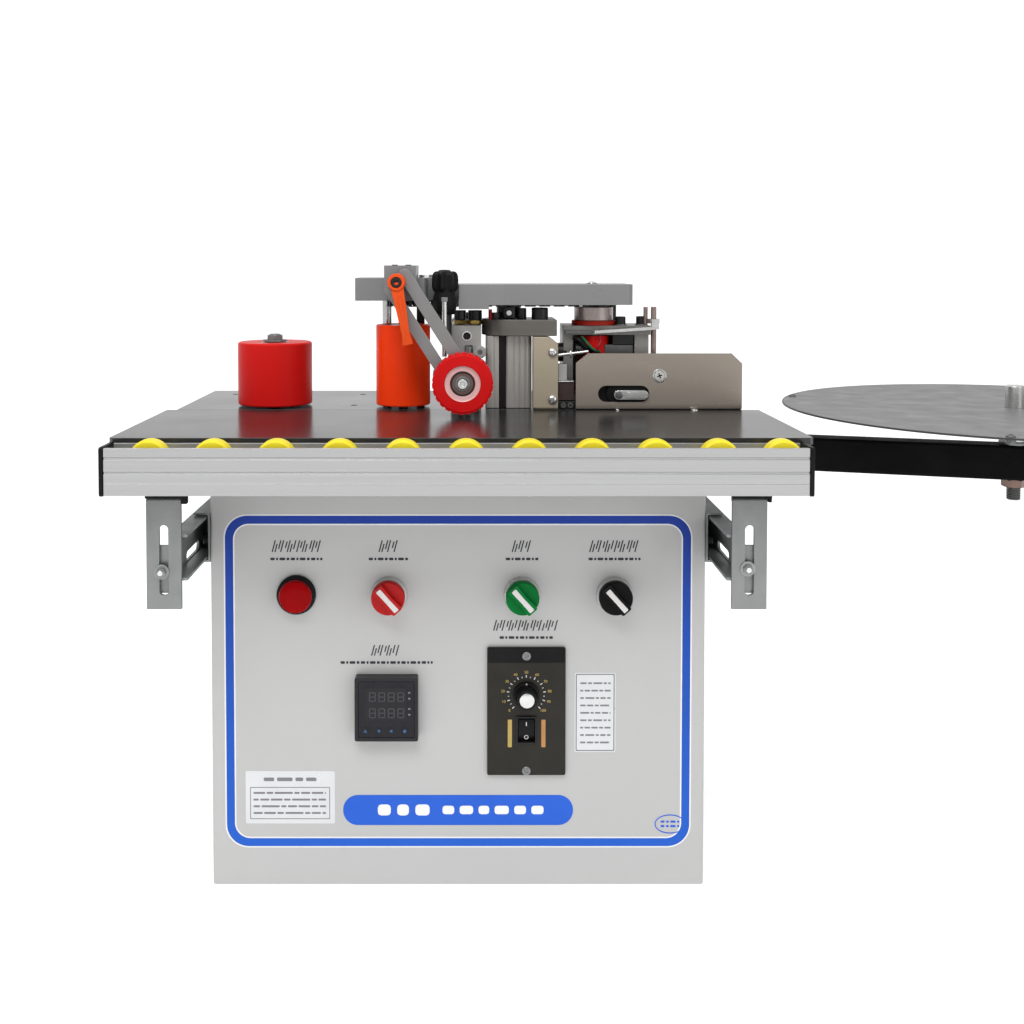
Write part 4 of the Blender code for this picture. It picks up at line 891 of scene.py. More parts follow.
# ---- speed controller --------------------------------------------------------------------
SX0, SX1, SZ0, SZ1 = SPEED
body = prism(rounded_box(SX0, SX1, SZ0, SZ1, 1.4), "Y", P - 2.4, P)
body = csg(body, block(SX0 + 6.6, SX1 - 6.6, P - 1.2, PANEL + 52, SZ0 + 10.6, SZ1 - 10.6), "UNION")
holes = rod(SPEED_KNOB[0], SPEED_KNOB[1], 3.6, "Y", P - 5, P + 14, 32)
block(ROCKER[0] + 0.9, ROCKER[1] - 0.9, P - 5, P + 16, ROCKER[2] + 0.9, ROCKER[3] - 0.9, holes)
body = csg(body, holes)
piece("speed_plate_body", body, "speed", bevel=0.5, seg=3, replaces="speed_controller")
SF = P - 2.4
piece("speed_top_band", prism(rounded_box(SX0 + 0.6, SX1 - 0.6, 174.6, SZ1 - 0.6, 1.0), "Y", SF - 0.7, SF + 0.1), "black_pl", bevel=0.2)
for i, sz in enumerate((179.8, 90.4)):
    piece(f"speed_screw_{i}", at(phillips(3.4, 1.5), (52.5, SF - (0.65 if i == 0 else 0.0), sz), "-Y", 24 + 40 * i), "zinc", bevel=0)
ticks = None
for i in range(21):
    a = math.radians(225 - 13.5 * i)
    r0, r1 = 13.2, (15.2 if i % 2 == 0 else 14.3)
    w = 0.22 if i % 2 else 0.32
    c, s = math.cos(a), math.sin(a)
    pts = [(SPEED_KNOB[0] + r * c - e * s, SPEED_KNOB[1] + r * s + e * c) for r, e in ((r0, -w), (r1, -w), (r1, w), (r0, w))]
    ticks = prism(pts, "Y", SF - 0.12, SF + 0.02, ticks)
piece("speed_ticks", ticks, "label", bevel=0)
for i in range(11):
    a = math.radians(225 - 27 * i)
    text = bpy.data.curves.new(f"dial_number_{i}", "FONT")
    text.body = str(i * 10)
    text.size = 3.0 * MM
    text.align_x = "CENTER"
    text.align_y = "CENTER"
    text.extrude = 0.05 * MM
    tmp = bpy.data.objects.new("dial_tmp", text)
    scene.collection.objects.link(tmp)
    bpy.context.view_layer.update()
    mesh = bpy.data.meshes.new_from_object(tmp.evaluated_get(bpy.context.evaluated_depsgraph_get()))
    bpy.data.objects.remove(tmp, do_unlink=True)
    mesh.transform(Matrix.Translation(Vector((SPEED_KNOB[0] + 18.2 * math.cos(a), SF - 0.06,
                                              SPEED_KNOB[1] + 17.4 * math.sin(a))) * MM) @ TURN["-Y"])
    bm = bmesh.new()
    bm.from_mesh(mesh)
    bpy.data.meshes.remove(mesh)
    piece(f"dial_number_{i}", bm, "gold", bevel=0)
piece("speed_bar_left", prism(rounded_box(38.2, 41.4, 108.8, 130.2, 0.4), "Y", SF - 0.14, SF + 0.02), "gold", bevel=0)
piece("speed_bar_right", prism(rounded_box(64.0, 67.2, 108.8, 130.2, 0.4), "Y", SF - 0.14, SF + 0.02), "copper", bevel=0)

kp = SF - 0.3
knob = lathe([(0.0, kp + 11.0), (3.2, kp + 11.0), (3.2, kp), (10.2, kp), (10.0, kp - 2.4), (8.7, kp - 3.0),
              (7.6, kp - 11.4), (7.0, kp - 12.1), (0.0, kp - 12.1)], "Y", *SPEED_KNOB, 72)
flutes = None
for i in range(24):
    a = 2 * math.pi * (i + 0.5) / 24
    flutes = rod(SPEED_KNOB[0] + 8.75 * math.cos(a), SPEED_KNOB[1] + 8.75 * math.sin(a), 0.62, "Y", kp - 20, kp - 3.6, 8, flutes)
knob = csg(knob, flutes)
piece("speed_knob_body", knob, "black_pl", "speed_knob", bevel=0.12, seg=1, replaces="speed_knob")
piece("speed_knob_cap", lathe([(0.0, kp - 11.9), (5.6, kp - 11.9), (5.6, kp - 12.35), (5.2, kp - 12.5), (0.0, kp - 12.5)],
                              "Y", *SPEED_KNOB, 56), "bright", "speed_knob", bevel=0.1)
piece("speed_knob_pointer", prism(rounded_box(SPEED_KNOB[0] - 0.5, SPEED_KNOB[0] + 0.5, SPEED_KNOB[1] + 5.6, SPEED_KNOB[1] + 9.7, 0.25, 3),
                                  "Y", kp - 3.1, kp - 2.3), "insert", "speed_knob", bevel=0)

# ---- rocker switch -----------------------------------------------------------------------------
rz, rh = (ROCKER[2] + ROCKER[3]) / 2, (ROCKER[3] - ROCKER[2]) / 2 - 1.6
frame_bm = ring_plate(rounded_box(ROCKER[0], ROCKER[1], ROCKER[2], ROCKER[3], 1.0),
                      rounded_box(ROCKER[0] + 1.3, ROCKER[1] - 1.3, ROCKER[2] + 1.3, ROCKER[3] - 1.3, 0.4), "Y", SF - 1.5, SF + 1.0)
piece("rocker_frame", frame_bm, "black_gloss", bevel=0.35)
ry = P + 2.0
tilt = math.radians(8.0)


def turned(points, centre, angle):
    cx, cy = centre
    c, s = math.cos(angle), math.sin(angle)
    return [(cx + (x - cx) * c - (y - cy) * s, cy + (x - cx) * s + (y - cy) * c) for x, y in points]


rock = [(ry - 2.2, rz - rh), (ry + 7.5, rz - rh + 3.4), (ry + 7.5, rz + rh - 3.4), (ry - 2.2, rz + rh)]
for i in range(9):
    t = 1 - 2 * i / 8.0
    rock.append((ry - 5.0 + 1.4 * t * t + 0.25, rz + rh * 0.92 * t))
piece("rocker_body", prism(turned(rock, (ry, rz), tilt), "X", ROCKER[0] + 1.6, ROCKER[1] - 1.6), "black_pl",
      "rocker_switch", bevel=0.35, replaces="rocker_switch")
rock_marks = prism(rounded_box(-0.35, 0.35, 4.0, 7.2, 0.2, 2), "Y", -0.12, 0.25)
ring_mark = ring_plate(circle(0, -5.4, 1.7, 24), circle(0, -5.4, 1.2, 24), "Y", -0.12, 0.25)
rock_marks = merge(rock_marks, ring_mark)
rock_marks = place(rock_marks, Matrix.Translation(Vector(((ROCKER[0] + ROCKER[1]) / 2, ry, rz)) * MM)
                   @ Matrix.Rotation(tilt, 4, "X") @ Matrix.Translation(Vector((0, -4.35, 0)) * MM))
piece("rocker_marks", rock_marks, "insert", "rocker_switch", bevel=0)

# ---- printed captions, kept abstract -------------------------------------------------------------
def rows(x0, x1, z0, z1, count, widths, thick, y=P, gap=0.25, bm=None, step=None):
    """Rows of small dashes that stand for printing without being writing."""
    for r in range(count):
        z = z1 - (r + 0.5) * (z1 - z0) / count
        x, k = x0, 0
        while x < x1 - 0.4:
            w = widths[(r * 3 + k) % len(widths)]
            w = min(w, x1 - x)
            bm = prism(rounded_box(x, x + w, z - thick / 2, z + thick / 2, thick * 0.3, 2), "Y", PANEL - 0.14, PANEL - 0.02, bm)
            x += w + (step or thick * 0.8)
            k += 1
    return bm


def hatch(x0, x1, z0, z1, step, wide, lean, bm=None):
    """Slanted strokes, plain hatching in place of a caption."""
    x, k = x0, 0
    while x + wide + lean <= x1:
        lift_, drop = ((0.0, 0.0), (0.0, 0.30), (0.25, 0.0), (0.0, 0.0), (0.35, 0.10))[k % 5]
        a, b = z0 + lift_ * (z1 - z0), z1 - drop * (z1 - z0)
        la, lb = lean * (a - z0) / (z1 - z0), lean * (b - z0) / (z1 - z0)
        bm = prism([(x + la, a), (x + wide + la, a), (x + wide + lb, b), (x + lb, b)], "Y", PANEL - 0.14, PANEL - 0.02, bm)
        x += step if (k + 1) % 4 else step * 1.35
        k += 1
    return bm


caps = None
for cx, wide, low in ((LAMP[0], 38.0, 40.0), (-53.0, 16.0, 31.0), (49.1, 16.0, 25.0), (120.0, 39.0, 40.0)):
    caps = hatch(cx - wide / 2, cx + wide / 2, 259.4, 268.4, 2.15, 1.0, 2.4, caps)
    caps = rows(cx - low / 2, cx + low / 2, 251.6, 256.4, 1, (3.4, 1.6, 4.4, 2.2), 2.0, bm=caps, step=1.0)
for cx, wide, low, top in ((-54.9, 24.0, 71.0, 187.3), (52.4, 51.0, 41.0, 206.7)):
    caps = hatch(cx - wide / 2, cx + wide / 2, top - 8.2, top, 2.15, 0.95, 2.2, caps)
    caps = rows(cx - low / 2, cx + low / 2, top - 16.0, top - 11.2, 1, (3.4, 1.6, 4.4, 2.2), 2.0, bm=caps, step=1.0)
piece("panel_captions", caps, "print_black", bevel=0)

# ---- labels ------------------------------------------------------------------------------------------
piece("side_label", prism(rounded_box(89.8, 121.3, 103.9, 165.7, 1.2), "Y", PANEL - 0.16, PANEL - 0.02), "label", bevel=0)
piece("side_label_border", ring_plate(rounded_box(90.6, 120.5, 104.7, 164.9, 1.0), rounded_box(91.4, 119.7, 105.5, 164.1, 0.8), "Y",
                                      PANEL - 0.2, PANEL - 0.1), "print_grey", bevel=0)
piece("side_label_rows", rows(94.0, 117.5, 108.5, 160.5, 9, (5.0, 3.0, 7.0, 2.4, 4.2), 1.3), "print_grey", bevel=0)
for o in (bpy.data.objects["side_label_rows"],):
    o.data.transform(Matrix.Translation(Vector((0, -0.12, 0)) * MM))
piece("plate_label", prism(rounded_box(-164.0, -95.1, 47.8, 89.0, 1.4), "Y", PANEL - 0.16, PANEL - 0.02), "label", bevel=0)
piece("plate_label_box", ring_plate(rounded_box(-160.6, -98.9, 51.3, 76.5, 0.6), rounded_box(-160.0, -99.5, 51.9, 75.9, 0.4), "Y",
                                    PANEL - 0.2, PANEL - 0.1), "print_grey", bevel=0)
plate_rows = rows(-158.0, -102.0, 53.5, 74.5, 4, (9.0, 5.0, 14.0, 4.0, 7.0), 1.5)
plate_rows = rows(-150.0, -109.0, 79.0, 86.0, 1, (8.0, 12.0, 6.0), 2.8, bm=plate_rows)
piece("plate_label_rows", plate_rows, "print_grey", bevel=0)
bpy.data.objects["plate_label_rows"].data.transform(Matrix.Translation(Vector((0, -0.12, 0)) * MM))

piece("pill_label", prism(rounded_box(-88.8, 88.8, 46.6, 70.2, 11.7, 14), "Y", PANEL - 0.16, PANEL - 0.02), "print_pill", bevel=0)
pill = rows(-62.0, -20.0, 53.0, 64.0, 1, (10.0, 9.0, 11.0), 8.6, step=5.0)
pill = rows(-12.0, 66.0, 54.0, 63.0, 1, (9.0, 10.4, 8.2, 11.0), 6.6, bm=pill, step=4.2)
piece("pill_marks", pill, "print_white", bevel=0)
bpy.data.objects["pill_marks"].data.transform(Matrix.Translation(Vector((0, -0.12, 0)) * MM))


def ellipse(cx, cz, a, b, seg=48):
    return [(cx + a * math.cos(2 * math.pi * i / seg), cz + b * math.sin(2 * math.pi * i / seg)) for i in range(seg)]


piece("oval_stamp", ring_plate(ellipse(163.8, 47.4, 12.0, 7.5), ellipse(163.8, 47.4, 11.2, 6.7), "Y", PANEL - 0.14, PANEL - 0.02),
      "print_pill", bevel=0)
piece("oval_stamp_rows", rows(156.5, 171.0, 44.0, 51.0, 2, (3.0, 2.0, 4.0), 1.6), "print_pill", bevel=0)

# =============================================================================
# tables
# =============================================================================
def plate(name, x0, x1, y0, y1, corners, holes=None, mat="table"):
    c = 3.0
    pts = []
    for (x, y, flag), (dx, dy) in zip(((x0, y0, corners[0]), (x1, y0, corners[1]), (x1, y1, corners[2]), (x0, y1, corners[3])),
                                      ((1, 1), (-1, 1), (-1, -1), (1, -1))):
        if not flag:
            pts.append((x, y))
        elif (dx > 0) == (dy > 0):
            pts += [(x, y + c * dy), (x + c * dx, y)]
        else:
            pts += [(x + c * dx, y), (x, y + c * dy)]
    bm = prism(pts, "Z", T0, TABLE_Z)
    if holes is not None:
        bm = csg(bm, holes)
    piece(f"{name}_plate", bm, mat, bevel=0.4, seg=3, replaces=name)


plate("front_table", -250.0, 256.0, -174.0, FEED_Y, (1, 1, 0, 0))
holes = rod(GUIDE[0], GUIDE[1], 5.4, "Z", T0 - 3, TABLE_Z + 3, 32)
rod(FEED[0], FEED[1], 4.8, "Z", T0 - 3, TABLE_Z + 3, 32, holes)
rod(DRIVE[0], DRIVE[1], 8.0, "Z", T0 - 3, TABLE_Z + 3, 32, holes)
rod(GLUE[0], -7.0, 3.6, "Z", T0 - 3, TABLE_Z + 3, 24, holes)
for hx, hy in ((-93.3, 16.0), (-215.0, 100.0), (215.0, 60.0), (-93.3, 100.0)):
    rod(hx, hy, 2.8, "Z", T0 + 1.2, TABLE_Z + 3, 24, holes)
plate("rear_table", -242.0, 242.0, FEED_Y + 0.5, 131.5, (0, 0, 1, 1), holes, "table_rear_lit")
for i, (hx, hy) in enumerate(((-93.3, 16.0), (-215.0, 100.0), (215.0, 60.0), (-93.3, 100.0))):
    piece(f"table_screw_{i}", at(socket_head(2.5, 3.0), (hx, hy, T0 + 1.25), "Z", 11 * i), "black_ox", bevel=0)

# =============================================================================
# slide rails, runners, roller bar
# =============================================================================
for label, side in (("left", -1), ("right", 1)):
    for node in (f"rail_{label}", f"runner_{label}"):
        NODES[node].data.materials.clear()
        NODES[node].data.materials.append(M["zinc_rail"])
    xr = side * 203.0
    for j, (by, bz) in enumerate(((-111.0, 267.0), (20.0, 267.0))):
        piece(f"rail_bolt_{label}_{j}", at(socket_head(3.9, 4.6), (side * 192.0, by, bz), "X" if side > 0 else "-X", 20), "black_ox", bevel=0)
    for j, (z0_, z1_) in enumerate(((281.4, 282.6), (277.6, 278.4))):
        ys = (-177.2, 61.0)
        piece(f"runner_track_{label}_{j}", block(*sorted((side * 203.2, side * 202.6)), *ys, z0_, z1_), "zinc_dark" if j else "bright",
              "roller_support", bevel=0.1)

for side, label, bxx, bzz in ((-1, "left", -210.6, 260.6), (1, "right", 207.2, 262.9)):
    xs = sorted((side * 198.6, side * 218.0))
    piece(f"runner_tab_{label}", prism(rounded_box(xs[0], xs[1], 244.4, 279.0, 2.0, 4), "Y", -177.7, -175.7), "zinc", "roller_support",
          bevel=0.3)
    piece(f"bracket_washer_{label}", at(washer(5.4, 2.6, 1.0), (bxx, -181.0, bzz), "-Y"), "zinc_rail", "roller_support", bevel=0.25)
    piece(f"bracket_bolt_{label}", at(hex_part(6.4, 2.4), (bxx, -182.0, bzz), "-Y", 18), "zinc", "roller_support", bevel=0)
    piece(f"bracket_bolt_stem_{label}", csg(rod(bxx, bzz, 2.5, "Y", -181.6, -170.0, 24), rod(bxx, bzz, 1.9, "Y", -185.6, -181.0, 24), "UNION"), "bright", "roller_support", bevel=0.2)
    piece(f"bracket_bolt_nut_{label}", at(hex_part(8.0, 3.6, 2.55), (bxx, -175.6, bzz), "Y", 10), "zinc", "roller_support", bevel=0)

bar_points = [
    (BAR_Y0, BAR_Z0), (BAR_Y1, BAR_Z0), (BAR_Y1, BAR_Z1), (BAR_Y1 - 2.6, BAR_Z1),
    (BAR_Y1 - 2.6, BAR_Z0 + 3.2), (BAR_Y0 + 3.2, BAR_Z0 + 3.2), (BAR_Y0 + 3.2, BAR_Z1), (BAR_Y0, BAR_Z1),
    (BAR_Y0, BAR_Z1 - 6.0), (BAR_Y0 + 0.8, BAR_Z1 - 6.5), (BAR_Y0 + 0.8, BAR_Z1 - 7.6), (BAR_Y0, BAR_Z1 - 8.1),
    (BAR_Y0, BAR_Z1 - 16.2), (BAR_Y0 + 0.8, BAR_Z1 - 16.7), (BAR_Y0 + 0.8, BAR_Z1 - 17.7), (BAR_Y0, BAR_Z1 - 18.2),
    (BAR_Y0, BAR_Z0 + 9.0), (BAR_Y0 + 0.25, BAR_Z0 + 8.6), (BAR_Y0, BAR_Z0 + 8.2),
]
piece("bar_profile", prism(bar_points, "X", -BAR_X, BAR_X), "alu_x", "roller_support", bevel=0.3, seg=2,
      replaces="roller_bar")
axles = None
for i in range(WHEELS):
    wx = WHEEL_X0 + i * WHEEL_PITCH
    axles = rod(wx, WHEEL_Z, 2.5, "Y", BAR_Y0 + 1.2, BAR_Y1 - 1.0, 20, axles)
    rod(wx, WHEEL_Z, 4.2, "Y", BAR_Y0 + 3.6, WHEEL_Y - WHEEL_W / 2 - 0.5, 20, axles)
    rod(wx, WHEEL_Z, 4.2, "Y", WHEEL_Y + WHEEL_W / 2 + 0.5, BAR_Y1 - 3.0, 20, axles)
piece("bar_axles", axles, "zinc", "roller_support", bevel=0.2)

for i in range(WHEELS):
    wx = WHEEL_X0 + i * WHEEL_PITCH
    half = WHEEL_W / 2
    ring = [(7.2, WHEEL_Y - half), (WHEEL_R - 1.6, WHEEL_Y - half), (WHEEL_R, WHEEL_Y - half + 1.8),
            (WHEEL_R, WHEEL_Y - 0.5), (WHEEL_R - 0.35, WHEEL_Y - 0.3), (WHEEL_R - 0.35, WHEEL_Y + 0.3), (WHEEL_R, WHEEL_Y + 0.5),
            (WHEEL_R, WHEEL_Y + half - 1.8), (WHEEL_R - 1.6, WHEEL_Y + half), (7.2, WHEEL_Y + half),
            (7.2, WHEEL_Y + half - 1.6), (3.0, WHEEL_Y + half - 1.6), (3.0, WHEEL_Y - half + 1.6), (7.2, WHEEL_Y - half + 1.6)]
    piece(f"support_wheel_{i + 1:02d}", lathe(ring, "Y", wx, WHEEL_Z, 56), "yellow", f"support_roller_{i + 1:02d}",
          bevel=0.3, replaces=f"support_roller_{i + 1:02d}")
    hub = [(3.0, WHEEL_Y - half + 0.3), (6.9, WHEEL_Y - half + 0.3), (6.9, WHEEL_Y - half + 1.7), (3.0, WHEEL_Y - half + 1.7)]
    hb = lathe(hub, "Y", wx, WHEEL_Z, 40)
    hub = [(3.0, WHEEL_Y + half - 1.7), (6.9, WHEEL_Y + half - 1.7), (6.9, WHEEL_Y + half - 0.3), (3.0, WHEEL_Y + half - 0.3)]
    lathe(hub, "Y", wx, WHEEL_Z, 40, hb)
    piece(f"support_hub_{i + 1:02d}", hb, "hub_orange", f"support_roller_{i + 1:02d}", bevel=0.15)

for side, label in ((-1, "left"), (1, "right")):
    xs = sorted((side * (BAR_X + 0.3), side * (BAR_X + 3.3)))
    outline = fillet([(BAR_Y0 - 0.6, BAR_Z0 - 0.6), (BAR_Y1 + 0.3, BAR_Z0 - 0.6), (BAR_Y1 + 0.3, BAR_Z1 + 0.8), (BAR_Y0 - 0.6, BAR_Z1 + 0.8)],
                     2.0, 5)
    piece(f"end_cap_{label}", prism(outline, "X", xs[0], xs[1]), "black_pl", "roller_support", bevel=0.6, seg=3,
          replaces=f"bar_end_cap_{label}")

# brackets under the bar
for x, label, side in ((-209.0, "left", -1), (208.5, "right", 1)):
    outline = [(-181.0, 233.5), (-178.0, 233.5), (-178.0, BAR_Z0 - 8.2), (-176.5, BAR_Z0 - 8.2),
               (-176.5, BAR_Z0 - 5.4), (-181.0, BAR_Z0 - 5.4)]
    outline = fillet(outline, [0.4, 0, 0, 0, 0.3, 2.6], 6)
    bm = prism(outline, "X", x - 12.5, x + 12.5)
    bm = csg(bm, prism(slot_outline(x - 3.2, x + 3.2, 243.6, 294.0, 14), "Y", -186, -172))
    piece(f"bracket_{label}", bm, "zinc", "roller_support", bevel=0.45, seg=3, replaces=f"bar_bracket_{label}")

    piece(f"bracket_gasket_{label}", block(x - 12.5, x + (16.4 if side < 0 else 15.2), -183.4, -176.6, BAR_Z0 - 5.3, BAR_Z0 - 0.1), "black_pl",
          "roller_support", bevel=0.2)
    piece(f"bracket_stop_{label}", prism(rounded_box(x + 12.8, x + (17.0 if side < 0 else 15.4), -182.2, -176.8, 0.5), "Z", BAR_Z0 - (9.6 if side < 0 else 8.4), BAR_Z0 - 4.8),
          "black_pl", "roller_support", bevel=0.4)

# =============================================================================
# guide roller
# =============================================================================
post = [(0.0, T0 - 12.0), (4.2, T0 - 12.0), (4.9, T0 - 11.0), (4.9, T0 - 7.6), (4.9, 412.0), (4.9, 418.1), (4.0, 418.6), (0.0, 418.6)]
piece("guide_post", lathe(post, "Z", *GUIDE, 40), "zinc", bevel=0.2, replaces="guide_roller_post")
piece("guide_post_nut_low", at(hex_part(13.0, 6.8, 4.95), (GUIDE[0], GUIDE[1], T0 - 7.4), "Z", 10), "zinc", bevel=0)
piece("guide_post_washer", at(washer(10.6, 4.95, 1.5), (GUIDE[0], GUIDE[1], 412.0), "Z"), "zinc", bevel=0.2)
piece("guide_post_nut", at(hex_part(13.0, 4.2, 4.95), (GUIDE[0], GUIDE[1], 413.5), "Z", 8), "zinc", bevel=0)
red = [(14.0, 357.0), (GUIDE_R - 1.0, 357.0), (GUIDE_R, 358.0), (GUIDE_R, 410.4), (GUIDE_R - 1.2, 411.6), (14.0, 411.6)]
piece("guide_tyre", lathe(red, "Z", *GUIDE, 112), "red", "guide_roller", bevel=0.35, replaces="guide_roller")
core = [(5.4, 357.4), (13.9, 357.4), (13.9, 411.2), (5.4, 411.2)]
piece("guide_core", lathe(core, "Z", *GUIDE, 48), "alu_cast", "guide_roller", bevel=0.3)

# =============================================================================
# feed roller, sprockets, chain
# =============================================================================
def sprocket(cu, cv, r_root, r_tip, teeth, z0, z1, bore):
    pts = []
    for i in range(teeth):
        base = 2 * math.pi * i / teeth
        step = 2 * math.pi / teeth
        for frac, rr in ((0.0, r_root), (0.25, r_root), (0.42, r_tip), (0.58, r_tip), (0.75, r_root)):
            a = base + frac * step
            pts.append((cu + rr * math.cos(a), cv + rr * math.sin(a)))
    return prism(pts, "Z", z0, z1)


tyre = [(15.0, 357.6), (FEED_R - 0.8, 357.6), (FEED_R, 358.4), (FEED_R, 426.6), (FEED_R - 0.8, 427.4), (15.0, 427.4)]
piece("feed_tyre", lathe(tyre, "Z", *FEED, 96), "orange", "feed_roller", bevel=0.3, replaces="feed_roller")
fcore = [(0.0, T0 - 8.0), (4.0, T0 - 8.0), (4.0, 357.8), (14.9, 357.8), (14.9, 427.0), (4.0, 427.0), (4.0, 452.0), (0.0, 452.0)]
piece("feed_shaft", lathe(fcore, "Z", *FEED, 48), "zinc", "feed_roller", bevel=0.25)
piece("feed_sprocket", sprocket(*FEED, 8.9, 10.2, 13, 444.4, 447.8, 4.0), "black_ox", "feed_roller", bevel=0.15, seg=1)

shaft = [(0.0, 330.4), (5.0, 330.4), (5.0, 432.9), (10.6, 432.9), (10.6, 442.6), (5.0, 442.6), (5.0, 452.0), (0.0, 452.0)]
piece("drive_shaft", lathe(shaft, "Z", *DRIVE, 48), "black_ox", "drive_sprocket", bevel=0.3, replaces="drive_sprocket")
piece("drive_sprocket_teeth", sprocket(*DRIVE, 8.9, 10.2, 13, 444.4, 447.8, 5.0), "black_ox", "drive_sprocket", bevel=0.15, seg=1)
piece("drive_hub_screw", at(socket_head(2.4, 1.0), (DRIVE[0], DRIVE[1] - 10.2, 437.6), "-Y"), "bright", "drive_sprocket", bevel=0)

tape = [(0.0, 366.0), (3.0, 366.0), (3.0, 378.0), (5.0, 378.2), (5.0, 426.9), (6.0, 427.2), (6.0, 442.6), (5.0, 443.6), (5.0, 451.0), (0.0, 451.0)]
piece("tape_shaft", lathe(tape, "Z", *TAPE, 40), "zinc", "tape_feed_roller", bevel=0.2, replaces="tape_feed_roller")
piece("tape_body", lathe([(5.2, 378.0), (13.4, 378.0), (13.4, 417.5), (5.2, 417.5)], "Z", *TAPE, 64), "red", "tape_feed_roller", bevel=0.6, seg=3)
piece("tape_flange", lathe([(6.1, 426.9), (19.2, 426.9), (19.2, 430.8), (6.1, 430.8)], "Z", *TAPE, 72), "flange_red", "tape_feed_roller", bevel=0.4)
piece("tape_drum", lathe([(6.1, 430.9), (17.0, 430.9), (17.0, 442.6), (6.1, 442.6)], "Z", *TAPE, 72), "drum", "tape_feed_roller", bevel=0.5)
piece("tape_sprocket", sprocket(*TAPE, 8.9, 10.2, 13, 444.4, 447.8, 5.0), "black_ox", "tape_feed_roller", bevel=0.15, seg=1)


def belt_point(t, r=12.9):
    """Point and direction at a length t along the chain's centre line."""
    a, b = Vector(FEED), Vector(TAPE)
    d = (b - a)
    span = d.length
    d.normalize()
    nrm = Vector((-d.y, d.x))
    arc = math.pi * r
    if t < span:
        return a - nrm * r + d * t, d
    t -= span
    if t < arc:
        ang = t / r
        rad = (-nrm) * math.cos(ang) + d * math.sin(ang)
        return b + rad * r, Vector((-rad.y, rad.x))
    t -= arc
    if t < span:
        return b + nrm * r - d * t, -d
    t -= span
    ang = t / r
    rad = nrm * math.cos(ang) - d * math.sin(ang)
    return a + rad * r, Vector((-rad.y, rad.x))


span = (Vector(TAPE) - Vector(FEED)).length
total = 2 * span + 2 * math.pi * 12.9
links = 66
pitch = total / links
plates, rollers = None, None
for i in range(links):
    p, _ = belt_point(i * pitch)
    q, _ = belt_point(((i + 1) % links) * pitch)
    zo = (443.1, 443.9) if i % 2 else (443.9, 444.6)
    zi = (448.1, 448.9) if i % 2 else (447.4, 448.1)
    out = link_outline((p.x, p.y), (q.x, q.y), 1.75, 1.75, 5)
    plates = prism(out, "Z", *zo, plates)
    prism(out, "Z", *zi, plates)
    rollers = rod(p.x, p.y, 1.25, "Z", 443.2, 448.8, 8, rollers)
chain_bm = merge(plates, rollers)
piece("roller_chain", chain_bm, "black_ox", bevel=0, replaces="drive_chain")

# =============================================================================
# chain cover, press block, pillars
# =============================================================================
LEFT_Z, RIGHT_Z = (448.9, 468.1), (445.2, 462.7)
CY0, CY1 = -22.0, 45.0
right = prism(fillet([(-0.5, CY0), (26.0, CY0), (38.0, CY0 + 3.0), (144.0, CY0 + 3.0), (147.9, CY0 + 7.0), (147.9, CY1 - 5),
                      (143.0, CY1), (-14.0, CY1), (-14.0, -10.0), (-0.5, -10.0)], [0.8, 3, 3, 2, 2, 2, 2, 0.4, 0.4, 0.4], 5), "Z", *RIGHT_Z)
left = prism(fillet([(-88.4, CY0 + 1.5), (-86.9, CY0), (-27.5, CY0), (-27.5, -10.0), (-8.0, -10.0), (-8.0, CY1),
                     (-78.4, CY1), (-88.4, CY1 - 10)], [0.8, 0.8, 4.0, 0.6, 0.4, 0.4, 3, 3], 5), "Z", *LEFT_Z)
lid = csg(right, left, "UNION")
lid = csg(lid, block(-62.2, -35.7, -40.5, -18.5, 450.5, 478.8), "UNION")
lid = csg(lid, block(-62.2, -35.7, -20.0, 8.0, 462.0, 478.8), "UNION")
lid = csg(lid, block(-0.5, 25.2, CY0, -18.8, 441.8, 450.0), "UNION")
lid = csg(lid, prism([(-85.4, -19.0), (-30.5, -19.0), (-30.5, -7.4), (2.5, -7.4), (2.5, -19.2), (25.0, -19.2),
                      (38.0, -16.0), (144.9, -16.0), (144.9, 42.0), (-85.4, 42.0)], "Z", 436.0, 459.6))
lid = csg(lid, rod(*CLAMP, 2.9, "Y", -44.0, -26.0, 24))
piece("cover_body", lid, "grey", bevel=0.9, seg=4, replaces="drive_cover")
piece("cover_pillar_round", rod(-65.5, 37.6, 4.2, "Z", TABLE_Z + 0.3, 459.4, 40), "bright", bevel=0.3)
piece("cover_pillar_square", prism(rounded_box(-38.8, -31.8, 33.8, 41.2, 0.6, 3), "Z", TABLE_Z + 0.3, 459.4), "black_ox", bevel=0.3)
piece("cover_pillar_right", rod(136.0, 35.0, 4.2, "Z", 426.9, 459.4, 40), "black_ox", bevel=0.3)
for i, (px_, pz_) in enumerate((PIVOT_A, PIVOT_B)):
    piece(f"arm_pivot_pin_{i}", rod(px_, pz_, 3.0, "Y", ARM_Y0 + 1.6, -40.0, 32), "zinc", bevel=0.3)
piece("cover_bolt", at(button_head(4.0, 2.4), (115.6, 10.0, 462.6), "Z", 12), "bright", bevel=0)
piece("cover_bolt_washer", at(washer(5.2, 1.5, 0.7), (115.6, 10.0, 462.55), "Z"), "zinc", bevel=0.15)
for i, (bx_, by_) in enumerate(((-31.5, 4.0), (-24.0, 20.0))):
    piece(f"cover_nut_{i}", at(hex_part(7.0, 2.6), (bx_, by_, 468.05), "Z", 15 * i), "bright", bevel=0)
for i, (bx_, by_) in enumerate(((-54.0, -30.0), (-44.0, -4.0))):
    piece(f"block_screw_{i}", at(socket_head(2.6, 1.4), (bx_, by_, 478.1), "Z", 15 * i), "black_ox", bevel=0)
piece("cover_seam", block(-8.6, -7.6, -9.6, 44.6, 462.5, 467.9), "dark_grey", bevel=0.1)

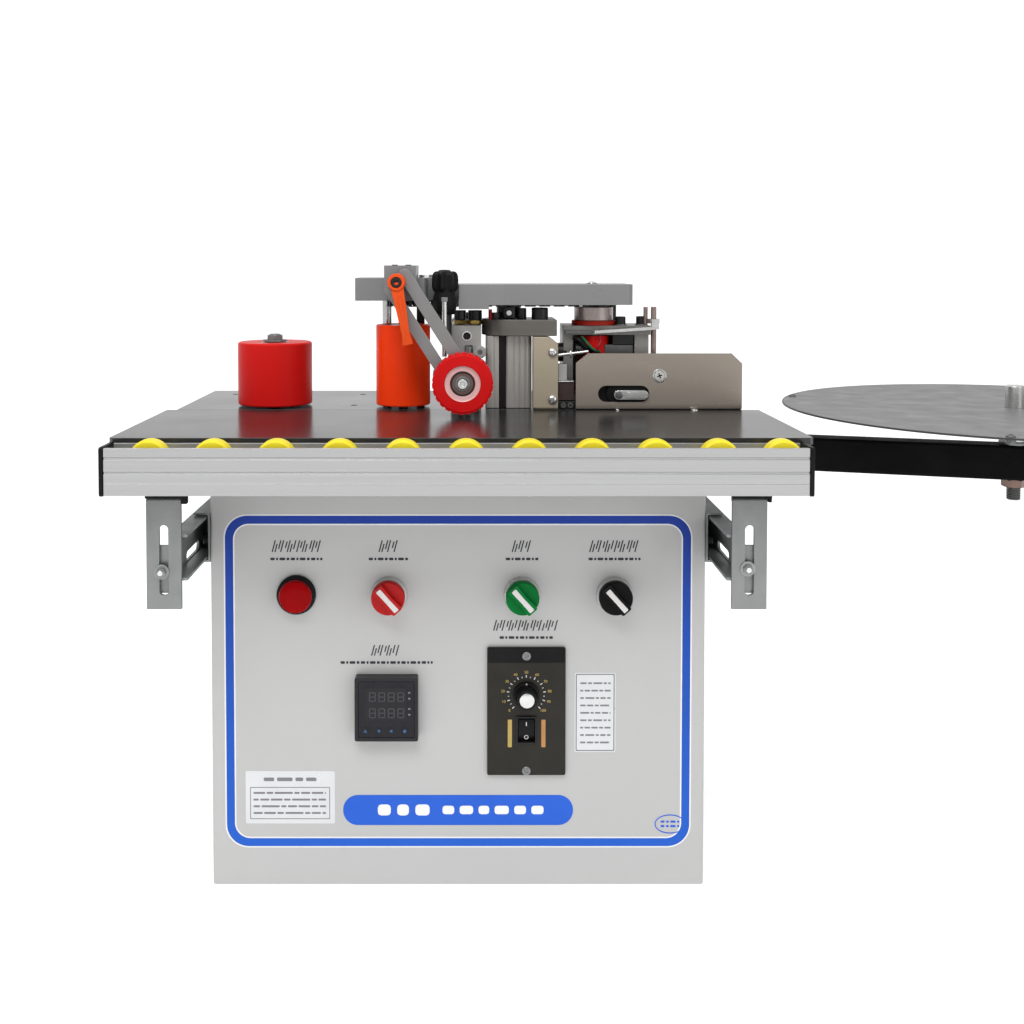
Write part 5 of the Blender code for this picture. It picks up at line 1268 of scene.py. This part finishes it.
# =============================================================================
# press arms, carrier, press wheel, clamp lever
# =============================================================================
bm = prism(link_outline(PIVOT_A, ARM_END_A, 5.25, 5.25, 24), "Y", ARM_Y0, ARM_Y1)
eyes = rod(*PIVOT_A, 3.4, "Y", ARM_Y0 + 1.2, ARM_Y1 + 3, 32)
rod(*ARM_END_A, 3.4, "Y", ARM_Y0 + 1.2, ARM_Y1 + 3, 32, eyes)
piece("arm_upper", csg(bm, eyes), "grey", "press_arm_upper", bevel=0.5, seg=3, replaces="press_arm_upper")
bm = prism(link_outline(PIVOT_B, ARM_END_B, 4.55, 4.55, 24), "Y", ARM_Y0, ARM_Y1)
bm = csg(bm, rod(*ARM_END_B, 9.3, "Y", ARM_Y0, ARM_Y1, 56), "UNION")
eyes = rod(*PIVOT_B, 3.4, "Y", ARM_Y0 + 1.2, ARM_Y1 + 3, 32)
rod(*ARM_END_B, 3.7, "Y", ARM_Y0 + 1.2, ARM_Y1 + 3, 32, eyes)
piece("arm_lower", csg(bm, eyes), "grey", "press_arm_lower", bevel=0.5, seg=3, replaces="press_arm_lower")

bm = prism(link_outline(ARM_END_A, WHEEL_AXIS, 6.0, 7.0, 20), "Y", ARM_Y1 + 0.5, ARM_Y1 + 5.5)
bm = csg(bm, prism(link_outline(ARM_END_B, (WHEEL_AXIS[0] - 2.0, WHEEL_AXIS[1] + 6.0), 6.0, 6.0, 20), "Y", ARM_Y1 + 0.5, ARM_Y1 + 5.5), "UNION")
piece("carrier_plate", bm, "grey", "wheel_carrier", bevel=0.4, replaces="wheel_carrier")
pins = rod(*ARM_END_A, 3.0, "Y", ARM_Y0 + 1.6, ARM_Y1 + 1, 32)
rod(*ARM_END_B, 3.0, "Y", ARM_Y0 + 1.6, ARM_Y1 + 1, 32, pins)
piece("carrier_pins", pins, "zinc", "wheel_carrier", bevel=0.3)
PW0, PW1 = -70.5, -51.5
axle = lathe([(0.0, -71.0), (4.0, -71.0), (4.0, -50.9), (6.2, -50.6), (6.2, ARM_Y1 + 1), (0.0, ARM_Y1 + 1)], "Y", *WHEEL_AXIS, 48)
axle = csg(axle, prism(circle(WHEEL_AXIS[0], WHEEL_AXIS[1], 2.1, 6), "Y", -75, -69.4))
piece("wheel_axle", axle, "bright", "wheel_carrier", bevel=0.2)


def tread(r, depth, count, bevel_in=0.0):
    pts = []
    for i in range(count):
        base = 2 * math.pi * i / count
        step = 2 * math.pi / count
        for frac, rr in ((0.0, r), (0.2, r), (0.4, r), (0.62, r), (0.70, r - depth), (0.92, r - depth)):
            a = base + frac * step
            pts.append((WHEEL_AXIS[0] + rr * math.cos(a), WHEEL_AXIS[1] + rr * math.sin(a)))
    return pts


wheel = prism(tread(24.8, 0.9, 26), "Y", PW0 + 0.6, PW1 - 0.4)
core = lathe([(14.7, PW0), (22.9, PW0), (23.8, PW0 + 0.8), (23.8, PW1 - 0.8), (22.9, PW1), (14.7, PW1)], "Y", *WHEEL_AXIS, 96)
wheel = csg(wheel, rod(*WHEEL_AXIS, 14.7, "Y", PW0 - 3, PW1 + 3, 64))
wheel = csg(wheel, core, "UNION")
piece("wheel_tyre", wheel, "red_wheel", "press_wheel", bevel=0.25, replaces="press_wheel")
ring = [(10.2, PW0 + 0.8), (13.4, PW0 + 0.8), (14.6, PW0 + 0.2), (14.6, PW1), (10.2, PW1)]
piece("wheel_ring", lathe(ring, "Y", *WHEEL_AXIS, 80), "white_ring", "press_wheel", bevel=0.35)
race = [(8.6, PW0 + 1.4), (10.1, PW0 + 1.4), (10.1, PW1), (8.6, PW1)]
piece("wheel_outer_race", lathe(race, "Y", *WHEEL_AXIS, 72), "bearing", "press_wheel", bevel=0.25)
shield = [(6.2, PW0 + 2.3), (8.6, PW0 + 2.3), (8.6, PW1), (6.2, PW1)]
piece("wheel_shield", lathe(shield, "Y", *WHEEL_AXIS, 64), "shield", "press_wheel", bevel=0.2)
race = [(4.4, PW0 + 1.3), (6.1, PW0 + 1.3), (6.1, PW1), (4.4, PW1)]
piece("wheel_inner_race", lathe(race, "Y", *WHEEL_AXIS, 56), "zinc", "press_wheel", bevel=0.25)

CL0, CL1 = -64.0, -50.6
hub = lathe([(0.0, CL1), (7.2, CL1), (7.2, CL0 + 0.9), (6.6, CL0), (4.6, CL0), (4.6, CL0 + 2.0), (0.0, CL0 + 2.0)], "Y", *CLAMP, 64)
tip = (-42.0, 417.6)
start = (CLAMP[0] + 0.8, CLAMP[1] - 5.0)
handle = prism(link_outline(start, (-42.9, 422.0), 5.0, 3.1, 20), "Y", CL0 + 1.0, CL0 + 7.0)
d = Vector((tip[0] - start[0], tip[1] - start[1])).normalized()
nrm = Vector((-d.y, d.x))
c1 = Vector((-43.2, 424.5))
foot = [c1 - nrm * 2.9, c1 + d * 7.0 - nrm * 3.9, Vector(tip) + d * 3.2 - nrm * 4.4, Vector(tip) + d * 3.2 + nrm * 4.4,
        c1 + d * 7.0 + nrm * 3.9, c1 + nrm * 2.9]
handle = csg(handle, prism(fillet([tuple(p) for p in foot], [0, 3, 0.9, 0.9, 3, 0], 4), "Y", CL0 + 0.7, CL0 + 7.3), "UNION")
lever = csg(hub, handle, "UNION")
piece("lever_body", lever, "lever", "clamp_lever", bevel=0.5, seg=3, replaces="clamp_lever")
a0, a1 = Vector((-47.6, 452.0)), Vector((-45.2, 437.0))
rib_bm = ring_plate(link_outline(tuple(a0), tuple(a1), 2.0, 1.6, 10), link_outline(tuple(a0), tuple(a1), 1.5, 1.1, 10), "Y", CL0 + 0.7, CL0 + 1.2)
piece("lever_rib", rib_bm, "lever", "clamp_lever", bevel=0.1, seg=1)
piece("lever_socket", at(socket_head(4.5, 2.6, 2.4), (CLAMP[0], CL0 + 2.6, CLAMP[1]), "-Y", 12), "black_ox", "clamp_lever", bevel=0)
piece("lever_stud", rod(*CLAMP, 2.0, "Y", CL1 - 0.2, -27.5, 24), "zinc", "clamp_lever", bevel=0.2)
sp = lathe([(2.4, -50.4), (5.0, -50.4), (5.0, -41.0), (2.4, -41.0)], "Y", *CLAMP, 32)

# =============================================================================
# star knob with spindle and the rod in front of it
# =============================================================================
def lobes(r, count, depth, seg=84):
    pts = []
    for i in range(seg):
        a = 2 * math.pi * i / seg
        rr = r - depth * (0.5 - 0.5 * math.cos(count * a)) ** 0.7
        pts.append((STAR[0] + rr * math.cos(a), STAR[1] + rr * math.sin(a)))
    return pts


def loft(outline, centre, rings, bm=None):
    """Stack of one outline, scaled about a centre at each height."""
    own = bmesh.new()
    loops = []
    for scale, z in rings:
        loops.append([own.verts.new(Vector((centre[0] + (u - centre[0]) * scale, centre[1] + (v - centre[1]) * scale, z)) * MM)
                      for u, v in outline])
    count = len(outline)
    for lo, hi in zip(loops, loops[1:]):
        for i in range(count):
            own.faces.new((lo[i], lo[(i + 1) % count], hi[(i + 1) % count], hi[i]))
    own.faces.new(list(reversed(loops[0])))
    own.faces.new(loops[-1])
    tidy(own)
    return merge(bm, own)


knob = loft(lobes(11.7, 7, 2.9), STAR, [(0.74, 456.6), (0.88, 457.6), (0.97, 459.4), (1.0, 461.6), (1.0, 467.2), (0.97, 470.2), (0.90, 472.2), (0.80, 473.4), (0.66, 473.9)])
knob = csg(knob, lathe([(0.0, 437.6), (8.3, 437.6), (9.0, 438.6), (10.1, 443.0), (10.3, 447.5), (9.7, 451.5), (8.6, 454.6), (8.2, 459.5), (0.0, 459.5)], "Z", *STAR, 56), "UNION")
knob = csg(knob, lathe([(0.0, 472.6), (5.6, 472.6), (5.2, 474.4), (4.4, 475.0), (0.0, 475.2)], "Z", *STAR, 40), "UNION")
piece("star_knob_body", knob, "black_pl", "star_knob", bevel=0, angle=50.0, replaces="star_knob")
piece("star_spindle", rod(*STAR, 6.2, "Z", 419.2, 437.7, 40), "black_ox", "star_knob", bevel=0.4)
piece("press_rod", rod(-12.2, -33.4, 2.1, "Z", 402.5, 450.2, 28), "bright", bevel=0.3)
piece("press_rod_clip", prism(rounded_box(-15.0, -9.4, -36.2, -22.2 - 8.2, 1.2), "Z", 448.6, 452.2), "zinc", bevel=0.3)

# =============================================================================
# column, cap, side plate
# =============================================================================
col = prism(fillet([(22.9, -6.0), (34.1, -6.0), (34.1, -1.5), (40.2, -1.5), (40.2, -6.0), (62.4, -6.0), (62.4, 34.0), (46.0, 34.0),
                    (46.0, 29.0), (38.0, 29.0), (38.0, 34.0), (22.9, 34.0)],
                   [2.2, 0.6, 0.3, 0.3, 1.6, 3.4, 2.0, 0.6, 0.3, 0.3, 0.6, 2.0], 5), "Z", TABLE_Z + 0.3, 418.0)
col = csg(col, rod(*DRIVE, 8.0, "Z", TABLE_Z - 5, 425, 40))
grooves = None
for gx in (29.4, 46.6, 51.8, 57.0):
    grooves = rod(gx, -6.35, 0.7, "Z", TABLE_Z - 5, 425, 12, grooves)
col = csg(col, grooves)
piece("column_profile", col, "alu_z", bevel=0.3, replaces="column")

# a near-black strip inside the column's slot stands for the shade there: painted shade
piece("column_slot_shade_strip", block(34.5, 39.8, -4.9, -2.0, TABLE_Z + 0.4, 417.9), "slot_painted_shade", bevel=0.2)
cap_pts = [(47.4 + 28.0 * math.cos(math.radians(90 + 5 * i)), 14.0 + 28.0 * math.sin(math.radians(90 + 5 * i))) for i in range(37)] \
    + [(83.5, -14.0), (83.5, 42.0)]
capb = csg(prism(cap_pts, "Z", 418.4, 432.4), rod(*DRIVE, 5.5, "Z", 410, 440, 40))
piece("cap_plate", capb, "dark_grey", bevel=0.7, seg=3, replaces="column_cap")
piece("cap_bolt", at(socket_head(7.2, 10.0, 4.0), (69.5, -2.0, 432.35), "Z", 9), "black_ox", bevel=0)
piece("cap_boss", rod(31.0, 2.0, 4.6, "Z", 432.3, 438.0, 32), "black_ox", bevel=0.4)
piece("cap_boss_red", rod(26.6, -4.0, 1.6, "Z", 432.3, 441.0, 20), "wire_red", bevel=0.3)
piece("cap_spacer", rod(54.0, 3.4, 4.2, "Z", 432.3, 441.8, 32), "black_ox", bevel=0.4)

side_bm = block(62.9, 84.1, -19.0, -16.0, TABLE_Z + 1.8, 417.9)
side_bm = csg(side_bm, block(64.5, 84.1, -17.0, 30.0, TABLE_Z + 0.3, 417.9), "UNION")
side_bm = csg(side_bm, prism([(74.0, 419.0), (84.5, 419.0), (84.5, 412.0)], "Y", -22, 40))
piece("side_plate", side_bm, "beige", bevel=0.6, seg=3, replaces="column_side_plate")
for i, sz in enumerate((404.8, 364.6)):
    piece(f"side_plate_screw_{i}", at(phillips(3.9, 2.8), (79.4, -19.0, sz), "-Y", 30 + 25 * i), "bright", bevel=0)

# fittings between the side plate and the guard
piece("cutter_socket", rod(10.0, 403.0, 8.2, "X", 84.4, 93.4, 40), "black_ox", bevel=0.5)
piece("cutter_socket_rim", lathe([(3.2, 93.0), (6.8, 93.0), (6.8, 94.6), (3.2, 94.6)], "X", 10.0, 403.0, 40), "zinc_dark", bevel=0.2)
piece("light_block", prism(rounded_box(84.4, 92.4, -12.0, -2.0, 0.8), "Z", 380.4, 394.0), "alu_cast", bevel=0.5)
piece("brown_block", prism(rounded_box(84.4, 98.4, -14.0, -2.4, 0.8), "Z", 363.2, 379.0), "purple", bevel=0.5)
piece("bright_clip", prism(rounded_box(84.4, 98.0, -15.2, -3.0, 0.6), "Z", 379.2, 380.2), "bright", bevel=0.2)
piece("foot_block", prism(rounded_box(84.6, 99.0, -14.6, -1.0, 0.8), "Z", TABLE_Z + 0.4, 362.6), "black_ox", bevel=0.5)
for i, (fx, fy) in enumerate(((89.0, -10.0), (95.0, -9.0))):
    piece(f"foot_screw_{i}", at(socket_head(2.3, 2.0), (fx, fy - 4.4, 359.2), "-Y", 12), "zinc_dark", bevel=0)
arm_rod = bmesh.new()
bmesh.ops.create_cone(arm_rod, cap_ends=True, segments=28, radius1=1.35 * MM, radius2=1.35 * MM, depth=26.0 * MM)
place(arm_rod, Matrix.Translation(Vector((97.6, -12.4, 403.6)) * MM) @ Matrix.Rotation(math.radians(83.0), 4, "Y"))
piece("bright_rod", arm_rod, "bright", bevel=0.3)
ringb = bmesh.new()
bmesh.ops.create_cone(ringb, cap_ends=True, segments=36, radius1=3.9 * MM, radius2=3.9 * MM, depth=1.3 * MM)
place(ringb, Matrix.Translation(Vector((95.2, -12.4, 403.3)) * MM) @ Matrix.Rotation(math.radians(83.0), 4, "Y"))
piece("bright_rod_collar", ringb, "bright", bevel=0.3)

# =============================================================================
# glue pot
# =============================================================================
pot = block(-7.3, 18.8, -7.0, 80.0, TABLE_Z + 0.3, 427.2)
pot = csg(pot, block(-3.3, 14.8, 52.0, 76.0, 376.0, 440.0))
pot = csg(pot, rod(*GLUE, 8.6, "Z", TABLE_Z - 5, 401.6, 40))
pot = csg(pot, rod(*GLUE, 3.5, "Z", 399.0, 410.0, 24))
pot = csg(pot, rod(6.4, 418.0, 3.2, "Y", -12, 6, 28))
piece("pot_body", pot, "alu_cast", bevel=0.6, seg=3, replaces="glue_pot")
piece("pot_lid", block(-7.3, 18.8, 48.0, 80.0, 427.5, 430.3), "alu_cast", "glue_pot_lid", bevel=0.7, seg=3,
      replaces="glue_pot_lid")
piece("pot_lid_knob", lathe([(0.0, 430.2), (2.2, 430.2), (2.2, 432.2), (3.4, 433.4), (3.4, 435.2), (2.4, 436.0), (0.0, 436.0)], "Z", 5.7, 55.0, 32),
      "black_pl", "glue_pot_lid", bevel=0.2)
hinge = rod(80.9, 427.4, 1.5, "X", -7.0, 5.5, 20)
piece("pot_hinge_left", hinge, "zinc", bevel=0.2)
piece("pot_hinge_right", rod(80.9, 427.4, 1.5, "X", 5.9, 18.5, 20), "zinc", "glue_pot_lid", bevel=0.2)
groll = [(0.0, 352.0), (3.0, 352.0), (3.0, 359.4), (8.0, 359.4), (8.0, 401.0), (3.0, 401.0), (3.0, 409.0), (0.0, 409.0)]
piece("glue_shaft", lathe(groll, "Z", *GLUE, 48), "zinc", "glue_roller", bevel=0.3, replaces="glue_roller")
piece("pot_hole_rim", lathe([(3.2, -7.4), (4.4, -7.4), (4.4, -6.9), (3.2, -6.9)], "Y", 6.4, 418.0, 36), "bright", bevel=0.15)
piece("pot_hole_plug", rod(6.4, 418.0, 3.1, "Y", -5.6, 4.0, 28), "black_ox", bevel=0.3)
piece("pot_boss", at(socket_head(5.4, 6.0, 2.4), (17.6, -6.9, 404.4), "-Y", 20), "alu_cast", bevel=0)
for i, bx_ in enumerate((0.4, 13.5)):
    r = 5.2 if i == 0 else 6.1
    piece(f"pot_fitting_{i}", rod(bx_, 8.0, r, "Z", 431.4, 439.7, 40), "black_ox", bevel=0.5)
    piece(f"pot_fitting_nut_{i}", at(hex_part(2 * r + 0.6, 3.6), (bx_, 8.0, 427.6), "Z", 10 + 20 * i), "brass", bevel=0)

# =============================================================================
# tape guard and slider
# =============================================================================
g = prism([(99.5, 360.4), (241.3, 360.4), (241.3, 395.2), (232.3, 403.8), (109.8, 403.8), (99.5, 395.6)], "Y", -17.0, -15.2)
lip = [(-17.0, 361.0), (-15.2, 361.0), (-15.2, 358.4), (-14.6, 357.6), (1.0, 357.6), (1.0, 355.8), (-15.2, 355.8), (-16.5, 356.6), (-17.0, 358.0)]
g = csg(g, prism(lip, "X", 99.5, 241.3), "UNION")
g = csg(g, prism(slot_outline(118.4, 162.2, 362.2, 376.3, 16), "Y", -20, -10))
piece("guard_sheet", g, "stainless", bevel=0.6, seg=3, replaces="tape_guard")
slide = prism(slot_outline(131.8, 161.2, 364.4, 372.4, 14), "Y", -19.4, -12.6)
piece("slider_back", prism(slot_outline(126.0, 166.0, 361.0, 377.5, 14), "Y", -14.9, -13.0), "black_pl", "guard_slider", bevel=0.3)
piece("slider_body", slide, "bright", "guard_slider", bevel=0.4, seg=3, replaces="guard_slider")
piece("slider_pin", lathe([(0.0, -19.2), (3.3, -19.2), (3.3, -19.9), (2.8, -20.2), (0.0, -20.2)], "Y", 136.0, 368.4, 36), "zinc_dark", "guard_slider", bevel=0.15)
piece("slider_bar", prism(rounded_box(141.6, 158.8, 365.6, 371.2, 0.6), "Y", -20.1, -19.2), "bright", "guard_slider", bevel=0.3)
# a black sheet behind the guard's slot stands for the shade inside the slot: painted shade
piece("guard_slot_shade_plate", block(110.0, 170.0, -12.3, -11.3, 358.6, 380.0), "black_pl", bevel=0.3)
piece("guard_screw", at(countersunk(4.3), (170.8, -17.45, 384.7), "-Y", 20), "bright", bevel=0)
piece("guard_screw_rim", lathe([(4.5, -17.5), (5.9, -17.3), (6.1, -16.9), (4.5, -16.9)], "Y", 170.8, 384.7, 44), "bright", bevel=0.15)
for i, (gx, gz) in enumerate(((200.4, 358.2), (134.7, 357.4))):
    piece(f"guard_foot_screw_{i}", at(button_head(3.2 if i == 0 else 1.6, 1.4), (gx, -19.4, TABLE_Z), "Z", 9), "bright", bevel=0)

# =============================================================================
# cutter block, posts, rods, lever
# =============================================================================
cb = block(88.0, 173.0, 2.0, 45.0, TABLE_Z + 0.3, 364.5)
cb = csg(cb, block(90.4, 98.6, 2.0, 45.0, 362.0, 422.0), "UNION")
cb = csg(cb, block(152.1, 164.3, 2.0, 45.0, 362.0, 422.0), "UNION")
cb = csg(cb, block(90.4, 165.8, 0.5, 45.0, 418.6, 426.6), "UNION")
cb = csg(cb, rod(*TAPE, 5.6, "Z", 415, 430, 40))
cb = csg(cb, rod(*TAPE, 3.6, "Z", 363.5, 372, 24))
piece("cutter_frame", cb, "panel_grey", bevel=0.5, seg=3, replaces="cutter_block")
for i, (bx_, by_) in enumerate(((140.4, 8.0), (159.6, 14.0))):
    piece(f"cutter_bolt_{i}", at(socket_head(4.6, 6.6, 2.6), (bx_, by_, 427.6), "Z", 14 * i), "black_ox", bevel=0)
    piece(f"cutter_bolt_washer_{i}", at(washer(5.6, 2.0, 1.0), (bx_, by_, 426.6), "Z"), "zinc", bevel=0.2)
piece("cutter_back_plate", block(98.2, 152.5, 39.6, 44.6, 364.2, 419.0), "panel_grey", bevel=0.4)
piece("cutter_lug", prism(rounded_box(133.0, 151.6, 3.0, 30.0, 1.0), "Z", 410.0, 418.5), "black_ox", bevel=0.4)
piece("cutter_face", prism(rounded_box(126.0, 151.4, 4.0, 20.0, 1.0), "Z", 366.0, 409.8), "zinc_dark", bevel=0.5)
piece("cutter_rod", rod(169.0, 5.0, 2.4, "Z", 363.0, 442.8, 32), "rust_rod", bevel=0.3)
piece("cutter_rod_back", rod(162.6, 9.0, 1.9, "Z", 426.0, 442.6, 28), "rust_rod", bevel=0.3)
lv = prism([(169.0, 423.4), (169.0, 426.0), (116.6, 422.6), (116.6, 420.0)], "Y", -5.0, -1.4)
lv = csg(lv, rod(169.0, 5.0, 5.4, "Z", 428.4, 432.4, 40), "UNION")
lv = csg(lv, block(165.8, 172.2, -5.0, -0.4, 423.6, 430.0), "UNION")
lv = csg(lv, block(165.8, 172.2, -4.6, 3.0, 428.4, 432.4), "UNION")
lv = csg(lv, rod(169.0, 5.0, 2.8, "Z", 420, 440, 32))
piece("lever_cutter", lv, "bright", "cutter_lever", bevel=0.5, seg=3, replaces="cutter_lever")
piece("cutter_link", prism(rounded_box(90.6, 115.0, -3.4, 0.2, 1.2), "Z", 419.6, 422.6), "zinc_dark", bevel=0.4)
tube("wire_black", [(99.0, -2.0, 416.0), (104.0, -6.0, 414.0), (108.0, -6.5, 409.0), (114.0, -4.0, 405.0), (121.0, 0.0, 401.0)], 2.2, "black_pl")
tube("wire_green", [(106.0, -2.5, 417.0), (110.5, -8.4, 411.6), (115.0, -8.6, 406.8), (121.5, -4.0, 404.0)], 1.2, "wire_green")
tube("wire_red", [(122.0, -2.6, 418.0), (121.0, -7.4, 412.0), (118.5, -8.0, 407.5), (116.0, -3.4, 402.0)], 1.1, "wire_red")
piece("cutter_pivot", rod(0.0, 405.4, 6.4, "X", 100.4, 107.4, 36), "black_ox", bevel=0.6)

# =============================================================================
# reel bracket, arm, spindle, disc
# =============================================================================
bx = HX + 0.3
outline = fillet([(bx + 2, 88.0), (RP[0], 88.0), (RP[0] + 11, 93.0), (RP[0] + 14, 104.0), (RP[0] + 11, 115.0), (RP[0], 119.0), (bx + 2, 119.0)],
                 [0, 3, 4, 4, 4, 3, 0], 4)
br = prism(rounded_box(78.0, 119.0, 278.0, 331.0, 3.0, 4), "X", bx, bx + 4.0)
br = csg(br, prism(outline, "Z", 283.0, 288.6), "UNION")
br = csg(br, prism(outline, "Z", 319.9, 325.0), "UNION")
piece("reel_hinge_bracket", br, "black_st", bevel=0.4, replaces="reel_bracket")
piece("reel_hinge_pin", rod(RP[0], RP[1], 4.0, "Z", 285.0, 330.0, 36), "zinc", bevel=0.4)
piece("reel_hinge_head", at(hex_part(13.0, 3.4), (RP[0], RP[1], 324.9), "Z", 10), "zinc", bevel=0)
for i, (by_, bz_) in enumerate(((82.6, 285.0), (82.6, 324.0), (114.5, 304.0))):
    piece(f"reel_bracket_screw_{i}", at(button_head(3.4, 2.0), (bx + 3.95, by_, bz_), "X", 13 * i), "zinc", bevel=0)

ang = math.atan2(RA[1] - RP[1], RA[0] - RP[0])
length = math.hypot(RA[0] - RP[0], RA[1] - RP[1])


def along_matrix():
    return Matrix.Translation(Vector((RP[0], RP[1], 0.0)) * MM) @ Matrix.Rotation(ang, 4, "Z")


sec_out = rounded_box(-14.0, 14.0, ARM_Z0, ARM_Z1, 2.6, 5)
sec_in = rounded_box(-12.0, 12.0, ARM_Z0 + 2, ARM_Z1 - 2, 1.2, 4)
armb = prism(sec_out, "X", -9.0, length + 20.0)
armb = csg(armb, prism(sec_in, "X", -20.0, length + 30.0))
armb = place(armb, along_matrix())
armb = csg(armb, rod(RP[0], RP[1], 4.6, "Z", ARM_Z0 - 5, ARM_Z1 + 5, 36))
armb = csg(armb, rod(RA[0], RA[1], 6.4, "Z", ARM_Z0 - 5, ARM_Z1 + 5, 36))
piece("arm_tube", armb, "black_st", "reel_arm", bevel=0.3, replaces="reel_arm")
capb = prism(rounded_box(-13.2, 13.2, ARM_Z0 + 0.8, ARM_Z1 - 0.8, 2.2, 5), "X", length + 20.0, length + 22.0)
capb = csg(capb, prism(rounded_box(-11.8, 11.8, ARM_Z0 + 2.2, ARM_Z1 - 2.2, 1.2, 4), "X", length + 12.0, length + 21.0), "UNION")
piece("arm_end_plug", place(capb, along_matrix()), "black_pl", "reel_arm", bevel=0.5, seg=3)

spin = lathe([(0.0, 281.0), (6.0, 281.0), (6.0, ARM_Z1 + 0.3), (9.0, ARM_Z1 + 0.3), (9.0, 349.0), (8.0, 350.0),
              (8.0, 371.4), (7.2, 372.2), (0.0, 372.2)], "Z", *RA, 56)
piece("reel_shaft", spin, "bright", "reel_arm", bevel=0.3, replaces="reel_spindle")
piece("reel_flange", lathe([(9.0, ARM_Z1 + 0.3), (13.0, ARM_Z1 + 0.3), (13.0, ARM_Z1 + 2.6), (9.0, ARM_Z1 + 2.6)], "Z", *RA, 64), "zinc", "reel_arm", bevel=0.3)
piece("reel_collar", lathe([(9.0, 341.0), (13.0, 341.0), (13.0, 350.2), (9.0, 350.2)], "Z", *RA, 64), "black_pl", "reel_arm", bevel=0.5)
piece("reel_nut", at(hex_part(18.0, 7.0, 5.6), (RA[0], RA[1], 281.6), "Z", 12), "pink_nut", "reel_arm", bevel=0)
piece("reel_thread", at(threaded(6.0, 12.0, 1.5), (RA[0], RA[1], 270.0), "Z"), "zinc_dark", "reel_arm", bevel=0)
disc = lathe([(8.4, DISC_Z - 1.5), (REEL_R - 0.9, DISC_Z - 1.5), (REEL_R - 0.9, DISC_Z), (8.4, DISC_Z)], "Z", *RA, 192)
piece("disc_plate", disc, "disc", "reel_disc", bevel=0, replaces="reel_disc")
piece("disc_rim", lathe([(REEL_R - 0.95, DISC_Z - 1.6), (REEL_R, DISC_Z - 1.4), (REEL_R, DISC_Z - 0.1), (REEL_R - 0.95, DISC_Z + 0.1)], "Z", *RA, 192),
      "disc_edge", "reel_disc", bevel=0)
for i in range(4):
    a = math.atan2(110.7 - RA[1], 321.2 - RA[0]) + math.pi / 2 * i
    x_, y_ = RA[0] + 194.0 * math.cos(a), RA[1] + 194.0 * math.sin(a)
    piece(f"disc_stud_{i}", at(button_head(3.6, 2.2), (x_, y_, DISC_Z), "Z", 20), "zinc_dark", "reel_disc", bevel=0)
    piece(f"disc_stud_nut_{i}", at(hex_part(7.0, 2.6), (x_, y_, DISC_Z - 1.5), "-Z", 20), "zinc_dark", "reel_disc", bevel=0)

# =============================================================================
# CAD nodes that stay as they are, with the finishes above
# =============================================================================
for node, mat in (("cabinet_rear_cover", "cabinet"), ("drive_motor", "black_st")):
    NODES[node].data.materials.clear()
    NODES[node].data.materials.append(M[mat])

for mesh in _templates.values():
    bpy.data.meshes.remove(mesh)
for text in list(bpy.data.curves):
    if text.users == 0:
        bpy.data.curves.remove(text)

low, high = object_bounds()
